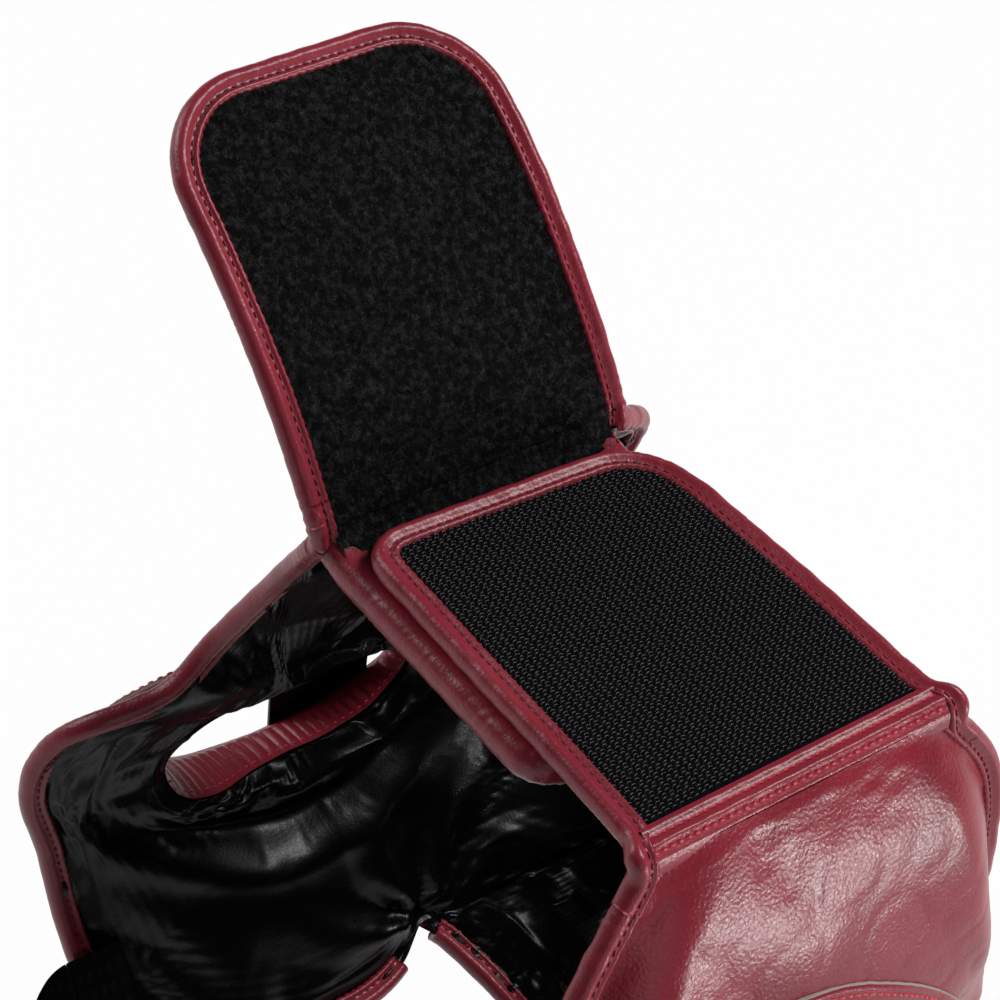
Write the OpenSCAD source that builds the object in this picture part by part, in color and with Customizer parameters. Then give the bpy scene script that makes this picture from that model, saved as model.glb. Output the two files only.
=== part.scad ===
// Boxing headgear laid face down, with its rear closure open.
// +Z is out of the back of the head, +Y towards the crown, +X towards the wearer's right.
// The origin is on the floor, under the middle of the head at ear level.

/* [Head cavity] */
// Half the inside width across the ears
half_width = 92; // [84:1:104]
// Inside depth from the brow lining to the widest point, at the ears
ear_depth = 104; // [94:1:116]
// Inside depth from the brow lining to the open closure
closure_depth = 228; // [212:1:244]
// Flat part of the brow lining either side of the middle
brow_flat = 70; // [60:1:80]
// Height over the ears where the sides begin to round over to the crown
dome_start = 20; // [0:1:40]
// Radius of that rounding
dome_radius = 135; // [120:1:170]
// How far the neck edge flares outwards behind the ears
neck_flare = 6; // [0:0.5:10]

/* [Rear wings] */
// Left wing's end, measured from the middle of the head
left_end = 46; // [40:1:56]
// Right wing's end, measured from the middle of the head
right_end = 81; // [74:1:90]
// Outward bulge of the left wing
left_bulge = 20; // [14:1:26]
// Outward bulge of the right wing
right_bulge = 11; // [4:1:18]
// Half the height of the closure
closure_half = 50; // [42:1:56]
// How far the right wing's end sits towards the crown
right_shift = 4; // [0:1:8]
// How far the left wing's end sits towards the neck
left_shift = 2; // [0:1:6]
// Depth of the left neck edge below ear level, half way along the wing
left_waist = 47; // [44:1:60]
// Depth of the right neck edge below ear level, half way along the wing
right_waist = 69; // [58:1:74]

/* [Edges] */
// Lowest point of the neck edge, below the ears
ear_drop = 103; // [96:1:112]
// Jaw corner of the cheek pad, below ear level
jaw_drop = 92; // [84:1:95]
// Crown edge over the brow, above ear level
brow_top = 118; // [104:1:124]
// Crown edge over the ears
side_top = 104; // [94:1:112]
// Crown edge over the rear wings
wing_top = 82; // [76:1:90]
// Lower edge of the brow pad in the middle
brow_low = 36; // [30:1:44]
// Outer corner of the eye opening, above ear level
eye_corner = 20; // [14:1:26]
// Half the gap between the cheek pads, as a share of the front quarter
cheek_reach = 0.25; // [0.22:0.01:0.3]

/* [Padding] */
// Brow pad
brow_pad = 24; // [20:1:28]
// Cheek pads
cheek_pad = 32; // [28:1:36]
// How far the cheek pads lean forwards as they thicken, as a share of their thickness
cheek_lean = 0.83; // [0.6:0.01:0.9]
// Side pads round the ears
side_pad = 22; // [16:1:26]
// Rear wings, in their middle
wing_pad = 17; // [12:1:22]
// Rim of the ear opening
ear_pad = 13; // [10:1:18]
// How far the lining puffs into the head cavity
lining_puff = 3; // [0:0.5:4]
// Every bound edge
edge_pad = 4; // [3.6:0.1:5]
// Leather and lining thickness
skin = 1.1; // [0.8:0.1:1.3]
// Clearance between two layers or two sewn pieces
fit = 0.3; // [0.2:0.05:0.4]
// Width over which a pad rises from its bound edge
pad_roll = 20; // [14:1:26]
// How much further the left wing takes to rise, as a multiple of that
left_slope = 2.2; // [1:0.1:2.8]
// Width over which the padding rises from the ear opening
ear_rise = 30; // [20:1:36]

/* [Binding] */
// Thickness of the folded leather binding
bind_skin = 1.2; // [0.8:0.1:1.6]
// How far the binding reaches over each face of the edge
bind_lip = 3; // [2:0.5:4]
// How far the fold stands off the edge
bind_fold = 1.6; // [1:0.1:2.4]

/* [Ear] */
// Half the width of the ear opening
ear_half_width = 16; // [12:1:19]
// Half the height of the ear opening
ear_half_height = 45; // [36:1:48]
// Depth of the ear opening's middle from the widest point, towards the face
ear_ahead = 7; // [2:1:12]
// Height of its middle, relative to ear level
ear_level = -14; // [-20:1:-6]
// Lean of the ear opening towards the back, in degrees
ear_lean = 4; // [0:1:8]
// Half the width of the ear guard
guard_half_width = 80; // [72:1:82]
// Reach of the left guard behind the ear, as a share of the right one's
guard_left_share = 0.75; // [0.65:0.01:0.8]
// Half the height of the ear guard
guard_half_height = 84; // [76:1:86]
// Thickness of the ear guard's leather
guard_skin = 1.6; // [1.2:0.1:2.2]
// Width of the strap across the ear opening
ear_strap_width = 26; // [20:1:30]

/* [Closure] */
// Length of the hook flap from its seam to its tip
hook_length = 113; // [104:1:118]
// Half the width of the hook flap at its tip
hook_tip_half = 43; // [38:1:46]
// Radius of the hook flap's tip corners
hook_corner = 12; // [8:1:16]
// Length of the loop flap along its curve
loop_length = 121; // [112:1:126]
// Half the width of the loop flap
loop_half = 51; // [46:1:54]
// Radius of the loop flap's tip corners
loop_corner = 28; // [20:1:34]
// Direction of the loop flap at its crease, in degrees from level
loop_lift = 128; // [120:1:134]
// Extra turn of the loop flap from its crease to its tip
loop_curl = 27; // [10:1:32]
// Thickness of the hook or fleece layer
tape = 1.5; // [1.2:0.1:1.8]
// Length of the padded tongue under the closure
tongue_length = 96; // [86:1:100]
// Thickness of the tongue's foam
tongue_foam_t = 5.5; // [4:0.5:6]

/* [Crown] */
// Width of each crown strap
crown_width = 44; // [36:1:50]
// Thickness of the crown padding
crown_pad_t = 10; // [7:1:12]
// Half the size of the crown's centre pad
crown_half = 34; // [28:1:38]

/* [Chin strap] */
// Width of the strap
chin_width = 25; // [20:1:28]
// Thickness of the strap
chin_t = 2; // [1.5:0.1:2.5]
// Lowest point of the strap, below ear level
chin_drop = 132; // [126:1:140]

/* [Hidden] */
burgundy = "#7d2433";
black = "#17171a";
charcoal = "#242428";

brow_round = 5.8;                         // how much the dome lifts the brow pad's middle
front_z = brow_pad - brow_round;         // brow lining; the brow and cheek pads rest on Z = 0
ear_z = front_z + ear_depth;             // widest point
closure_z = front_z + closure_depth;     // wing ends
axis_z = front_z + ear_depth + 4;        // middle of the dome
per_u = 140;                             // length round the head of one step of u: near the ear,
front_per_u = 150;                       // beside the face
rear_per_u = 280;                        // and along the wings
temple_u = 0.34;                         // seam between brow and side
back_u = 1.66;                           // seam between side and wing
end_u = 2;                               // end of each wing
lip = bind_lip + 2;                      // flat band along each bound edge
ear_pull = 46;                           // how far the head's outline stays straight by the ear
left_tuck = 28;                          // and by the end of each wing
right_tuck = 34;
roll_half = edge_pad / 2 + fit;          // half the height inside a binding
sewn_gap = 2 * fit;                      // between two curved sewn pieces

// ---- curves ----
function bez(p, t) = pow(1 - t, 3) * p[0] + 3 * t * pow(1 - t, 2) * p[1]
  + 3 * t * t * (1 - t) * p[2] + t * t * t * p[3];
function ease(x) = let (t = min(1, max(0, x))) t * t * (3 - 2 * t);
function last(v) = v[len(v) - 1];
function span(tab, x, i = 0) = i >= len(tab) - 2 || x < tab[i + 1][0] ? i : span(tab, x, i + 1);
function slope(tab, i) = let (a = tab[max(i - 1, 0)], b = tab[min(i + 1, len(tab) - 1)])
  (b[1] - a[1]) / (b[0] - a[0]);
// Smooth curve through [place, height] pairs
function through(tab, x) = let (
    i = span(tab, x), a = tab[i], b = tab[i + 1], h = b[0] - a[0],
    t = min(1, max(0, (x - a[0]) / h)), t2 = t * t, t3 = t2 * t)
  (2 * t3 - 3 * t2 + 1) * a[1] + (t3 - 2 * t2 + t) * h * slope(tab, i)
  + (3 * t2 - 2 * t3) * b[1] + (t3 - t2) * h * slope(tab, i + 1);

// ---- the inside of the head cavity ----
// u runs round the head: 0 at the brow, 1 at the ear, 2 at the wing's end; side is -1 or 1.
front_curve = [[0, front_z], [brow_flat, front_z], [half_width, ear_z - ear_pull], [half_width, ear_z]];
left_curve = [[half_width, ear_z], [half_width, ear_z + ear_pull],
  [left_end + left_bulge, closure_z - left_tuck], [left_end, closure_z]];
right_curve = [[half_width, ear_z], [half_width + right_bulge - 3, ear_z + ear_pull],
  [right_end + right_bulge, closure_z - right_tuck], [right_end, closure_z + 2]];
function ring(side, u) = u <= 1 ? bez(front_curve, u)
  : bez(side < 0 ? left_curve : right_curve, u - 1);
function dome(y) = sqrt(max(0.05, 1 - pow(max(0, y - dome_start) / dome_radius, 2)));
function flare(u, y) = neck_flare / half_width * pow(max(0, -30 - y) / 65, 2)
  * max(0, 1 - pow((u - 1.1) / 0.6, 2));
function head(side, u, y) = let (
    q = ring(side, abs(u)), k = 1 - ease((u - 1) / 0.9),
    s = 1 - k * (1 - dome(y)) + flare(u, y))
  [side * sign(u) * q[0] * s, y, axis_z + (q[1] - axis_z) * s];
function unit(v) = v / norm(v);
function outward(side, u, y) = let (e = 0.01)
  side * unit(cross(head(side, u, y + 0.5) - head(side, u, y - 0.5),
                    head(side, u + e, y) - head(side, u - e, y)));
function cheek(u, y) = ease((22 - y) / 25) * ease((0.62 - u) / 0.22);
function lean(u, y) = cheek_lean * ease((30 - y) / 55) * ease((1.02 - u) / 0.6);
function at(side, u, y, w) = head(side, u, y) + w * outward(side, u, y)
  - [0, 0, lean(abs(u), y) * pow(max(0, w - edge_pad), 2) / cheek_pad];

// ---- outlines, in mm above or below ear level ----
function shift(side) = side < 0 ? -left_shift : right_shift;
function neck_edge(side, u) = through(side < 0
  ? [[0.42, -jaw_drop], [0.65, -jaw_drop - 3], [0.85, -ear_drop + 5], [1, -ear_drop], [1.12, -ear_drop + 3],
     [1.22, -ear_drop + 13], [1.3, -left_waist - 20], [1.45, -left_waist - 5], [1.7, -left_waist],
     [2, shift(side) - closure_half]]
  : [[0.42, -jaw_drop], [0.65, -jaw_drop - 3], [0.85, -ear_drop + 5], [1, -ear_drop], [1.25, -ear_drop + 9],
     [1.5, -right_waist - 10], [1.72, -right_waist], [2, shift(side) - closure_half]], u);
function crown_edge(side, u) = through([[0, brow_top], [0.5, brow_top - 4], [1, side_top], [1.5, wing_top],
  [1.8, wing_top - 10], [2, closure_half + shift(side)]], abs(u));
function brow_edge(u) = through([[0, brow_low], [0.15, brow_low - 2], [0.28, brow_low - 9],
  [temple_u, eye_corner]], abs(u));
// Share of the front quarter where the cheek pad ends, at height y
function face_u(y) = y >= eye_corner ? temple_u
  : through([[-jaw_drop, 0.42], [-62, cheek_reach + 0.07], [-35, cheek_reach + 0.01], [-10, cheek_reach],
     [8, cheek_reach + 0.03], [eye_corner, temple_u]], y);

// ---- thickness of the padding ----
function swell(d, roll = pad_roll) = d <= lip ? 0 : sin(90 * min(1, (d - lip) / roll));
function roll_at(side, u) = pad_roll * (side < 0 ? 1 + (left_slope - 1) * ease((u - 1.1) / 0.3) : 1);
function hypot_n(a, b, n) = pow(pow(abs(a), n) + pow(abs(b), n), 1 / n);
ear_power = 2.2;                         // shape of the ear opening: 2 is an ellipse
// Distance from the ear opening's rim, straight away from its middle
function ear_far(u, y) = let (x = (u - 1) * per_u + ear_ahead, h = y - ear_level,
    k = hypot_n(x / ear_half_width, h / ear_half_height, ear_power)) norm([x, h]) * (1 - 1 / max(1, k));
function full_pad(u, y) = let (
    a = through([[0, brow_pad], [0.5, brow_pad - 2], [0.9, side_pad], [1.5, side_pad - 2],
      [1.78, wing_pad - 3], [2, edge_pad + 2]], u))
  a + (cheek_pad - a) * cheek(u, y);
function face_gap(u, y) = u < temple_u && y > brow_edge(u) - 1 ? y - brow_edge(u)
  : y < eye_corner ? (u - face_u(y)) * front_per_u
  : norm([(u - temple_u) * front_per_u, y - eye_corner]);
function edge_gap(side, u, y) = let (face_and_crown = min(face_gap(u, y), crown_edge(side, u) - y))
  u < temple_u ? face_and_crown : min(face_and_crown, y - neck_edge(side, u));
function pad(side, u, y) = let (full = full_pad(abs(u), y), dish = ease(ear_far(abs(u), y) / ear_rise))
  edge_pad + (min(full, ear_pad) + max(0, full - ear_pad) * dish - edge_pad)
    * swell(edge_gap(side, abs(u), y), roll_at(side, abs(u)));
// How far the lining stands into the head cavity: not at its edges, the brow, the ear or the closure
function puff(side, u, y) = lining_puff * swell(edge_gap(side, abs(u), y), roll_at(side, abs(u)))
  * ease(ear_far(abs(u), y) / ear_rise) * ease((abs(u) - temple_u) / 0.15) * ease((1.7 - abs(u)) / 0.3);

// ---- solids between two matching grids ----
function flat(g) = [for (row = g) for (p = row) p];
function volume6(p, f) = [for (t = f) p[t[0]] * cross(p[t[1]], p[t[2]])];
function total(v, i = 0, s = 0) = i >= len(v) ? s : total(v, i + 1, s + v[i]);
// in_grid and out_grid are rows of points; keep(i, j) says which cells are solid, and turned(i, j)
// which are split along their other diagonal; wrap joins the last row on to the first
module slab(in_grid, out_grid, keep = function (i, j) true, turned = function (i, j) false, wrap = false) {
  m = len(in_grid);
  n = len(in_grid[0]);
  rows = wrap ? m : m - 1;
  solid = function (i, j) (wrap || (i >= 0 && i < rows)) && j >= 0 && j < n - 1
    && keep(wrap ? (i + rows) % rows : i, j);
  id = function (i, j) (i % m) * n + j;
  size = m * n;
  faces = [for (i = [0:rows - 1]) for (j = [0:n - 2]) if (solid(i, j)) let (
      loop = [[i, j], [i + 1, j], [i + 1, j + 1], [i, j + 1]],
      next = [[i, j - 1], [i + 1, j], [i, j + 1], [i - 1, j]],
      q = [for (c = loop) id(c[0], c[1])],
      r = turned(i, j) ? [q[1], q[2], q[3], q[0]] : q)
    each concat(
      [[r[0] + size, r[1] + size, r[2] + size], [r[0] + size, r[2] + size, r[3] + size],
       [r[2], r[1], r[0]], [r[3], r[2], r[0]]],
      [for (k = [0:3]) if (!solid(next[k][0], next[k][1])) let (a = q[k], b = q[(k + 1) % 4])
        each [[b + size, a + size, a], [b + size, a, b]]])];
  points = concat(flat(in_grid), flat(out_grid));
  flipped = total(volume6(points, faces)) > 0;
  polyhedron(points, flipped ? [for (f = faces) [f[2], f[1], f[0]]] : faces, convexity = 6);
}

// ---- panel grids, as [u, y] ----
function mix(a, b, t) = a + (b - a) * t;
side_cols = 13;
side_rows = 14;
side_mid = 7;                            // column and row through the middle of the ear opening,
hole_ring = 2;                           // this many cells out from it,
guard_ring = 4;                          // and the guard's outline this many
eye_row = 7;                             // row of the side panel's grid at the eye corner
seam_share = [0, 0.1, 0.2, 0.4, 0.8, 0.92, 1]; // heights of the rows above it, along the brow seam
shoulder = 0.4;                          // row between a bound edge and the guard, where the pad turns over
function side_front(j) = let (top = crown_edge(1, temple_u),
    y = j == 0 ? -jaw_drop : j == 1 ? -jaw_drop + lip
    : j <= eye_row ? mix(-jaw_drop + lip, eye_corner, (j - 1) / (eye_row - 1))
    : j == side_rows ? top : mix(eye_corner, top - lip, seam_share[j - eye_row]))
  [face_u(y) + fit / front_per_u, y];
back_share = [0, 0.06, 0.14, 0.24, 0.34, 0.44, 0.54, 0.64, 0.74, 0.82, 0.89, 0.95, 1]; // rows along the wing seam
function side_back(side, j) = let (lo = neck_edge(side, back_u), hi = crown_edge(side, back_u))
  [back_u - fit / rear_per_u,
    j == 0 ? lo : j == side_rows ? hi : mix(lo + lip, hi - lip, back_share[j - 1])];
// Point of an oval round the ear in direction (p, q), shrunk by cut
function oval(p, q, hw, hh, n, cut = 0) = let (k = hypot_n(p, q, n))
  [(hw - cut) * p / k, (hh - cut) * q / k];
function ear_point(p, q, cut = 0) = let (o = oval(p, q, ear_half_width, ear_half_height, ear_power, cut))
  [1 + (o[0] - ear_ahead + o[1] * tan(ear_lean)) / per_u, ear_level + o[1]];
guard_level = -10;                       // height of the guard's middle, relative to ear level
guard_margin = 7;                        // least gap between the guard and the band along the neck edge
function guard_point(side, p, q) = let (
    o = oval(p, q, guard_half_width, guard_half_height, p < 0 ? 2.4 : 1.6),
    u = 1 + o[0] * (side < 0 && p > 0 ? guard_left_share : 1) / per_u)
  [u, max(guard_level + o[1], neck_edge(side, u) + lip + guard_margin)];
guard_pull = 0.7;                        // how far the other columns follow the guard's outline
// Place of column i along the neck and crown edges, drawn towards the guard's outline
function edge_u(side, i, q) = let (
    even = mix(side_front(q < 0 ? 0 : side_rows)[0], back_u - fit / rear_per_u, i / side_cols))
  i < 2 || i == side_cols ? even
  : i == side_cols - 1 ? (edge_u(side, i - 1, q) + back_u) / 2
  : mix(even, guard_point(side, i - side_mid, sign(q) * guard_ring)[0], guard_pull);
function side_uy(side, i, j) = let (
    p = i - side_mid, q = j - side_mid, m = max(abs(p), abs(q)),
    f = side_front(j), b = side_back(side, j), u0 = edge_u(side, i, q))
  i == 0 ? f : i == side_cols ? b
  : j == 0 ? [u0, neck_edge(side, u0)] : j == side_rows ? [u0, crown_edge(side, u0)]
  : i == 1 ? [f[0] + lip / front_per_u, f[1]]
  : j == 1 ? [u0, neck_edge(side, u0) + lip] : j == side_rows - 1 ? [u0, crown_edge(side, u0) - lip]
  : i == 2 ? mix(side_uy(side, 1, j), side_uy(side, 3, j), shoulder)
  : j == 2 ? mix(side_uy(side, i, 1), side_uy(side, i, 3), shoulder)
  : j == side_rows - 2 ? mix(side_uy(side, i, j + 1), side_uy(side, i, j - 1), shoulder)
  : i == side_cols - 1 ? let (g = (guard_point(side, guard_ring, q) + b) / 2)
    [g[0], max(g[1], neck_edge(side, g[0]) + lip + 4)]
  : m >= hole_ring ? mix(ear_point(p, q), guard_point(side, p, q), (m - hole_ring) / (guard_ring - hole_ring))
  : [1, ear_level];
function in_hole(i, mid) = i >= mid - hole_ring && i < mid + hole_ring;
ear_hole = function (i, j) !(in_hole(i, side_mid) && in_hole(j, side_mid));
wing_cols = 5;
wing_rise = [0, 0, 0.1, 0.28, 0.5, 0.72, 0.9, 1, 1];
function wing_uy(side, i, j) = let (u = mix(back_u + fit / rear_per_u, end_u, i / wing_cols),
    lo = neck_edge(side, u), hi = crown_edge(side, u), n = len(wing_rise) - 1)
  [u, j == 0 ? lo : j == n ? hi : mix(lo + lip, hi - lip, wing_rise[j])];
brow_cols = 12;
function brow_uy(i, j) = let (u = mix(-1, 1, i / brow_cols) * (temple_u - fit / front_per_u),
    lo = brow_edge(u), hi = crown_edge(1, u), n = len(wing_rise) - 1)
  [u, j == 0 ? lo : j == n ? hi : mix(lo + lip, hi - lip, wing_rise[j])];

// Layers: 0 lining, 1 foam, 2 cover
function layer_in(k, t, b = 0) = k == 0 ? -b : k == 1 ? skin + fit - b : t - skin;
function layer_out(k, t, b = 0) = k == 0 ? skin - b : k == 1 ? t - skin - fit : t;
// f takes the padding's thickness and how far the lining puffs in
function face(side, uy, f) = at(side, uy[0], uy[1],
  f(pad(side, uy[0], uy[1]), puff(side, uy[0], uy[1])));
module panel(side, grid, k, keep = function (i, j) true, turned = function (i, j) false) {
  slab([for (row = grid) [for (c = row) face(side, c, function (t, b) layer_in(k, t, b))]],
       [for (row = grid) [for (c = row) face(side, c, function (t, b) layer_out(k, t, b))]], keep, turned);
}
// Cells round the ear are split along the line away from its middle
function radial(mid) = function (i, j) (i + 0.5 - mid) * (j + 0.5 - mid) < 0;
function side_grid(side) = [for (i = [0:side_cols]) [for (j = [0:side_rows]) side_uy(side, i, j)]];
function wing_grid(side) = [for (i = [0:wing_cols]) [for (j = [0:len(wing_rise) - 1]) wing_uy(side, i, j)]];
brow_grid = [for (i = [0:brow_cols]) [for (j = [0:len(wing_rise) - 1]) brow_uy(i, j)]];
module side_panel(side, k) panel(side, side_grid(side), k, ear_hole, radial(side_mid));
module wing_panel(side, k) panel(side, wing_grid(side), k);
module brow_panel(k) panel(1, brow_grid, k);

module brow_cover() color(burgundy) brow_panel(2);
module brow_foam() color(charcoal) brow_panel(1);
module brow_lining() color(black) brow_panel(0);

// ---- ear pieces ----
module ear_guard(side) color(burgundy) {
  reach = [side_mid - guard_ring:side_mid + guard_ring];
  block = [for (i = reach) [for (j = reach) side_uy(side, i, j)]];
  slab([for (row = block) [for (c = row) face(side, c, function (t, b) t + sewn_gap)]],
       [for (row = block) [for (c = row) face(side, c, function (t, b) t + sewn_gap + guard_skin)]],
       function (i, j) !(in_hole(i, guard_ring) && in_hole(j, guard_ring)), radial(guard_ring));
}
ear_gap = 0.9;                            // between the ear wall and the pad that it lines
ear_skin = 0.7;                          // thickness of the ear wall's leather
ear_round = [for (i = [-2:2]) [i, -2], for (j = [-1:2]) [2, j],
  for (i = [1:-1:-2]) [i, 2], for (j = [1:-1:-1]) [-2, j]];
function ear_ring(side, c, cut, part) = let (h = ear_point(c[0], c[1], cut), o = ear_point(c[0], c[1], 0),
    t = pad(side, o[0], o[1]) + sewn_gap + guard_skin)
  at(side, h[0], h[1], t * part);
module ear_wall(side) color(burgundy)
  slab([for (c = ear_round) [for (k = [0, 1]) ear_ring(side, c, ear_gap, k)]],
       [for (c = ear_round) [for (k = [0, 1]) ear_ring(side, c, ear_gap + ear_skin, k)]], wrap = true);
ear_strap_y = ear_level + 27;
module ear_strap(side) color(burgundy) {
  reach = (ear_half_width + 9) / per_u;
  us = [for (k = [-3:3]) 1 - ear_ahead / per_u + k / 3 * reach];
  ys = [ear_strap_y - ear_strap_width / 2, ear_strap_y, ear_strap_y + ear_strap_width / 2];
  lift = function (u, y) pad(side, u, y) + guard_skin + 2 * sewn_gap;
  strap_skin = 2;
  slab([for (u = us) [for (y = ys) at(side, u, y, lift(u, y))]],
       [for (u = us) [for (y = ys) at(side, u, y, lift(u, y) + strap_skin)]]);
}

// ---- folded bindings ----
// in_fold and out_fold are [across the edge, along the normal]
function in_fold(h) = [[-bind_lip, h], [fit, h], [bind_fold, h * 0.55],
  [bind_fold, -h * 0.55], [fit, -h], [-bind_lip, -h]];
function out_fold(h) = let (g = h + bind_skin) [[-bind_lip, g], [fit + 0.4, g], [bind_fold + bind_skin, g * 0.6],
  [bind_fold + bind_skin, -g * 0.6], [fit + 0.4, -g], [-bind_lip, -g]];
roll_out = roll_half + bind_skin;
fold_out = bind_fold + bind_skin;
// frames are [point on the middle of the edge, away from the piece, normal]; h is half the inside height
module binding(frames, h = roll_half) color(burgundy)
  slab([for (f = frames) [for (c = in_fold(h)) f[0] + c[0] * f[1] + c[1] * f[2]]],
       [for (f = frames) [for (c = out_fold(h)) f[0] + c[0] * f[1] + c[1] * f[2]]]);
function edge_frames(side, path, away) = [for (k = [0:len(path) - 1]) let (
    c = path[k], b = path[min(k + 1, len(path) - 1)], a = path[max(k - 1, 0)],
    mid = edge_pad / 2,
    run = unit(at(side, b[0], b[1], mid) - at(side, a[0], a[1], mid)),
    n = outward(side, c[0], c[1]), o = unit(cross(n, run)))
  [at(side, c[0], c[1], mid), o * away * side, n]];
trim = 0.02;                             // bindings stop this far short of the wing's end, in u
function neck_path(side) = concat([for (i = [1:side_cols]) side_uy(side, i, 0)],
  [for (i = [1:wing_cols - 1]) wing_uy(side, i, 0)], [[end_u - trim, neck_edge(side, end_u - trim)]]);
module neck_binding(side) binding(edge_frames(side, neck_path(side), 1));
function crown_path(side) = concat([for (i = [0:side_cols]) side_uy(side, i, side_rows)],
  [for (i = [1:wing_cols - 1]) wing_uy(side, i, len(wing_rise) - 1)],
  [[end_u - trim, crown_edge(side, end_u - trim)]]);
module crown_binding(side) binding(edge_frames(side, crown_path(side), -1));
module crown_binding_front() binding(edge_frames(1, [for (i = [0:brow_cols]) brow_uy(i, len(wing_rise) - 1)], -1));
module cheek_binding(side) binding(edge_frames(side, [for (j = [0:eye_row - 1]) side_uy(side, 0, j)], -1),
  roll_half + fit / 2);
module brow_binding() binding(edge_frames(1, [for (i = [1:brow_cols - 1]) brow_uy(i, 0)], 1));

// ---- crown ----
crown_y = 113;                           // underside of the centre pad
crown_z = ear_z - 12;                    // its middle
module rounded_square(half, r) polygon([for (c = [[1, 1], [-1, 1], [-1, -1], [1, -1]])
  let (a0 = c[1] > 0 ? (c[0] > 0 ? 0 : 90) : (c[0] > 0 ? 270 : 180))
  for (a = [0:15:90]) [c[0] * (half - r) + r * cos(a0 + a), c[1] * (half - r) + r * sin(a0 + a)]]);
module crown_pad() color(burgundy) translate([0, crown_y + crown_pad_t, crown_z]) rotate([90, 0, 0])
  linear_extrude(crown_pad_t) rounded_square(crown_half, 12);
// A strap from the crown edge at each of three places us to the centre pad
function strap_root(side, u, w) = let (y = crown_edge(side, u), mid = edge_pad / 2,
    o = unit(at(side, u, y, mid) - at(side, u, y - 2, mid)), n = outward(side, u, y))
  at(side, u, y, mid) + (fold_out + sewn_gap) * o + w * n;
strap_half = edge_pad / 2 + 1;           // half a crown strap's thickness
strap_arch = 5;                          // how far it bows up between its ends
module crown_strap(side, us, ends) color(burgundy) {
  rows = function (w) [for (t = [0:0.25:1]) [for (k = [0:2])
    mix(strap_root(side, us[k], w), ends[k] + [0, w, 0], t) + [0, strap_arch * sin(180 * t), 0]]];
  slab(rows(-strap_half), rows(strap_half));
}
strap_y = crown_y + crown_pad_t / 2;
brow_per_u = 148;                        // length of one step of u along the brow's crown edge
module crown_strap_front() crown_strap(1, [for (k = [-1:1]) k * crown_width / 2 / brow_per_u],
  [for (k = [-1:1]) [k * crown_width / 2, strap_y, crown_z - crown_half - fit]]);
module crown_strap_side(side) crown_strap(side, [for (k = [-1:1]) 1 - 0.08 + k * crown_width / 2 / per_u],
  [for (k = [-1:1]) [side * (crown_half + fit), strap_y, crown_z + k * crown_width / 2]]);

// ---- flap outlines, as [along, across, outward along, outward across] ----
function rim(len, half0, half1, mid0, mid1, r, start, turn = 15) = concat(
  [for (s = [start, (start + len - r) / 2, len - r]) [s, mix(mid0 - half0, mid1 - half1, s / len), 0, -1]],
  [for (a = [-90 + turn:turn:0]) [len - r + r * cos(a), mid1 - half1 + r + r * sin(a), cos(a), sin(a)]],
  [for (a = [0:turn:90 - turn]) [len - r + r * cos(a), mid1 + half1 - r + r * sin(a), cos(a), sin(a)]],
  [for (s = [len - r, (start + len - r) / 2, start]) [s, mix(mid0 + half0, mid1 + half1, s / len), 0, 1]]);

// ---- hook flap, sewn to the right wing ----
hook_x = right_end - fit;                // its seam
hook_z = closure_z + 3.7;                // its middle
hook_rim = rim(hook_length, closure_half, hook_tip_half, right_shift, right_shift + 1, hook_corner, 0);
hook_shape = [for (c = hook_rim) [hook_x - c[0], c[1]]];
module hook_layer(z, t) translate([0, 0, z]) linear_extrude(t) polygon(hook_shape);
module hook_backing() color(black) hook_layer(hook_z - edge_pad / 2, edge_pad - tape - fit);
module hook_tape() color(black) hook_layer(hook_z + edge_pad / 2 - tape, tape);
module hook_binding() binding([for (c = hook_rim)
  [[hook_x - c[0], c[1], hook_z], [-c[2], c[3], 0], [0, 0, 1]]]);
welt_r = 2.1;
module hook_welt() color(burgundy)
  translate([right_end + 2.2, right_shift - closure_half + fold_out, closure_z + 5.3]) rotate([-90, 0, 0])
    cylinder(r = welt_r, h = 2 * (closure_half - fold_out), $fn = 32);

// ---- loop flap, creased back from the left wing ----
loop_start = [-left_end - 2.6, closure_z + 4.7];
function loop_dir(s) = loop_lift + loop_curl * s / loop_length;
function loop_at(s, y, w) = let (a = loop_dir(s), k = loop_length / (loop_curl * PI / 180),
    p = loop_start + k * [sin(a) - sin(loop_lift), cos(loop_lift) - cos(a)])
  [p[0] + w * sin(a), y, p[1] - w * cos(a)];
loop_break = loop_length / 2;
loop_rim = rim(loop_length, loop_half, loop_half, -left_shift, -left_shift, loop_corner, loop_break + fit / 2, 22.5);
function loop_half_at(s) = let (d = s - (loop_length - loop_corner))
  d <= 0 ? loop_half : loop_half - loop_corner + sqrt(max(0, loop_corner * loop_corner - d * d));
base_rows = [for (k = [0:4]) k / 4 * (loop_break - fit / 2)];
tip_rows = concat([loop_break + fit / 2, (loop_break + loop_length - loop_corner) / 2],
  [for (a = [0:22.5:90]) loop_length - loop_corner + loop_corner * sin(a)]);
module loop_layer(rows, w0, w1) slab(
  [for (s = rows) [for (k = [-3:3]) loop_at(s, -left_shift + k / 3 * loop_half_at(s), w0)]],
  [for (s = rows) [for (k = [-3:3]) loop_at(s, -left_shift + k / 3 * loop_half_at(s), w1)]]);
function loop_frame(c) = let (a = loop_dir(c[0]))
  [loop_at(c[0], c[1], 0), [c[2] * cos(a), c[3], c[2] * sin(a)], [sin(a), 0, -cos(a)]];
module loop_backing() color(burgundy) loop_layer(base_rows, -edge_pad / 2, edge_pad / 2 - tape - fit);
module loop_fleece() color(black) loop_layer(base_rows, edge_pad / 2 - tape, edge_pad / 2);
module loop_binding() for (k = [-1, 1])
  binding([for (s = base_rows) loop_frame([max(s, 2), -left_shift + k * loop_half, 0, k])]);
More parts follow.
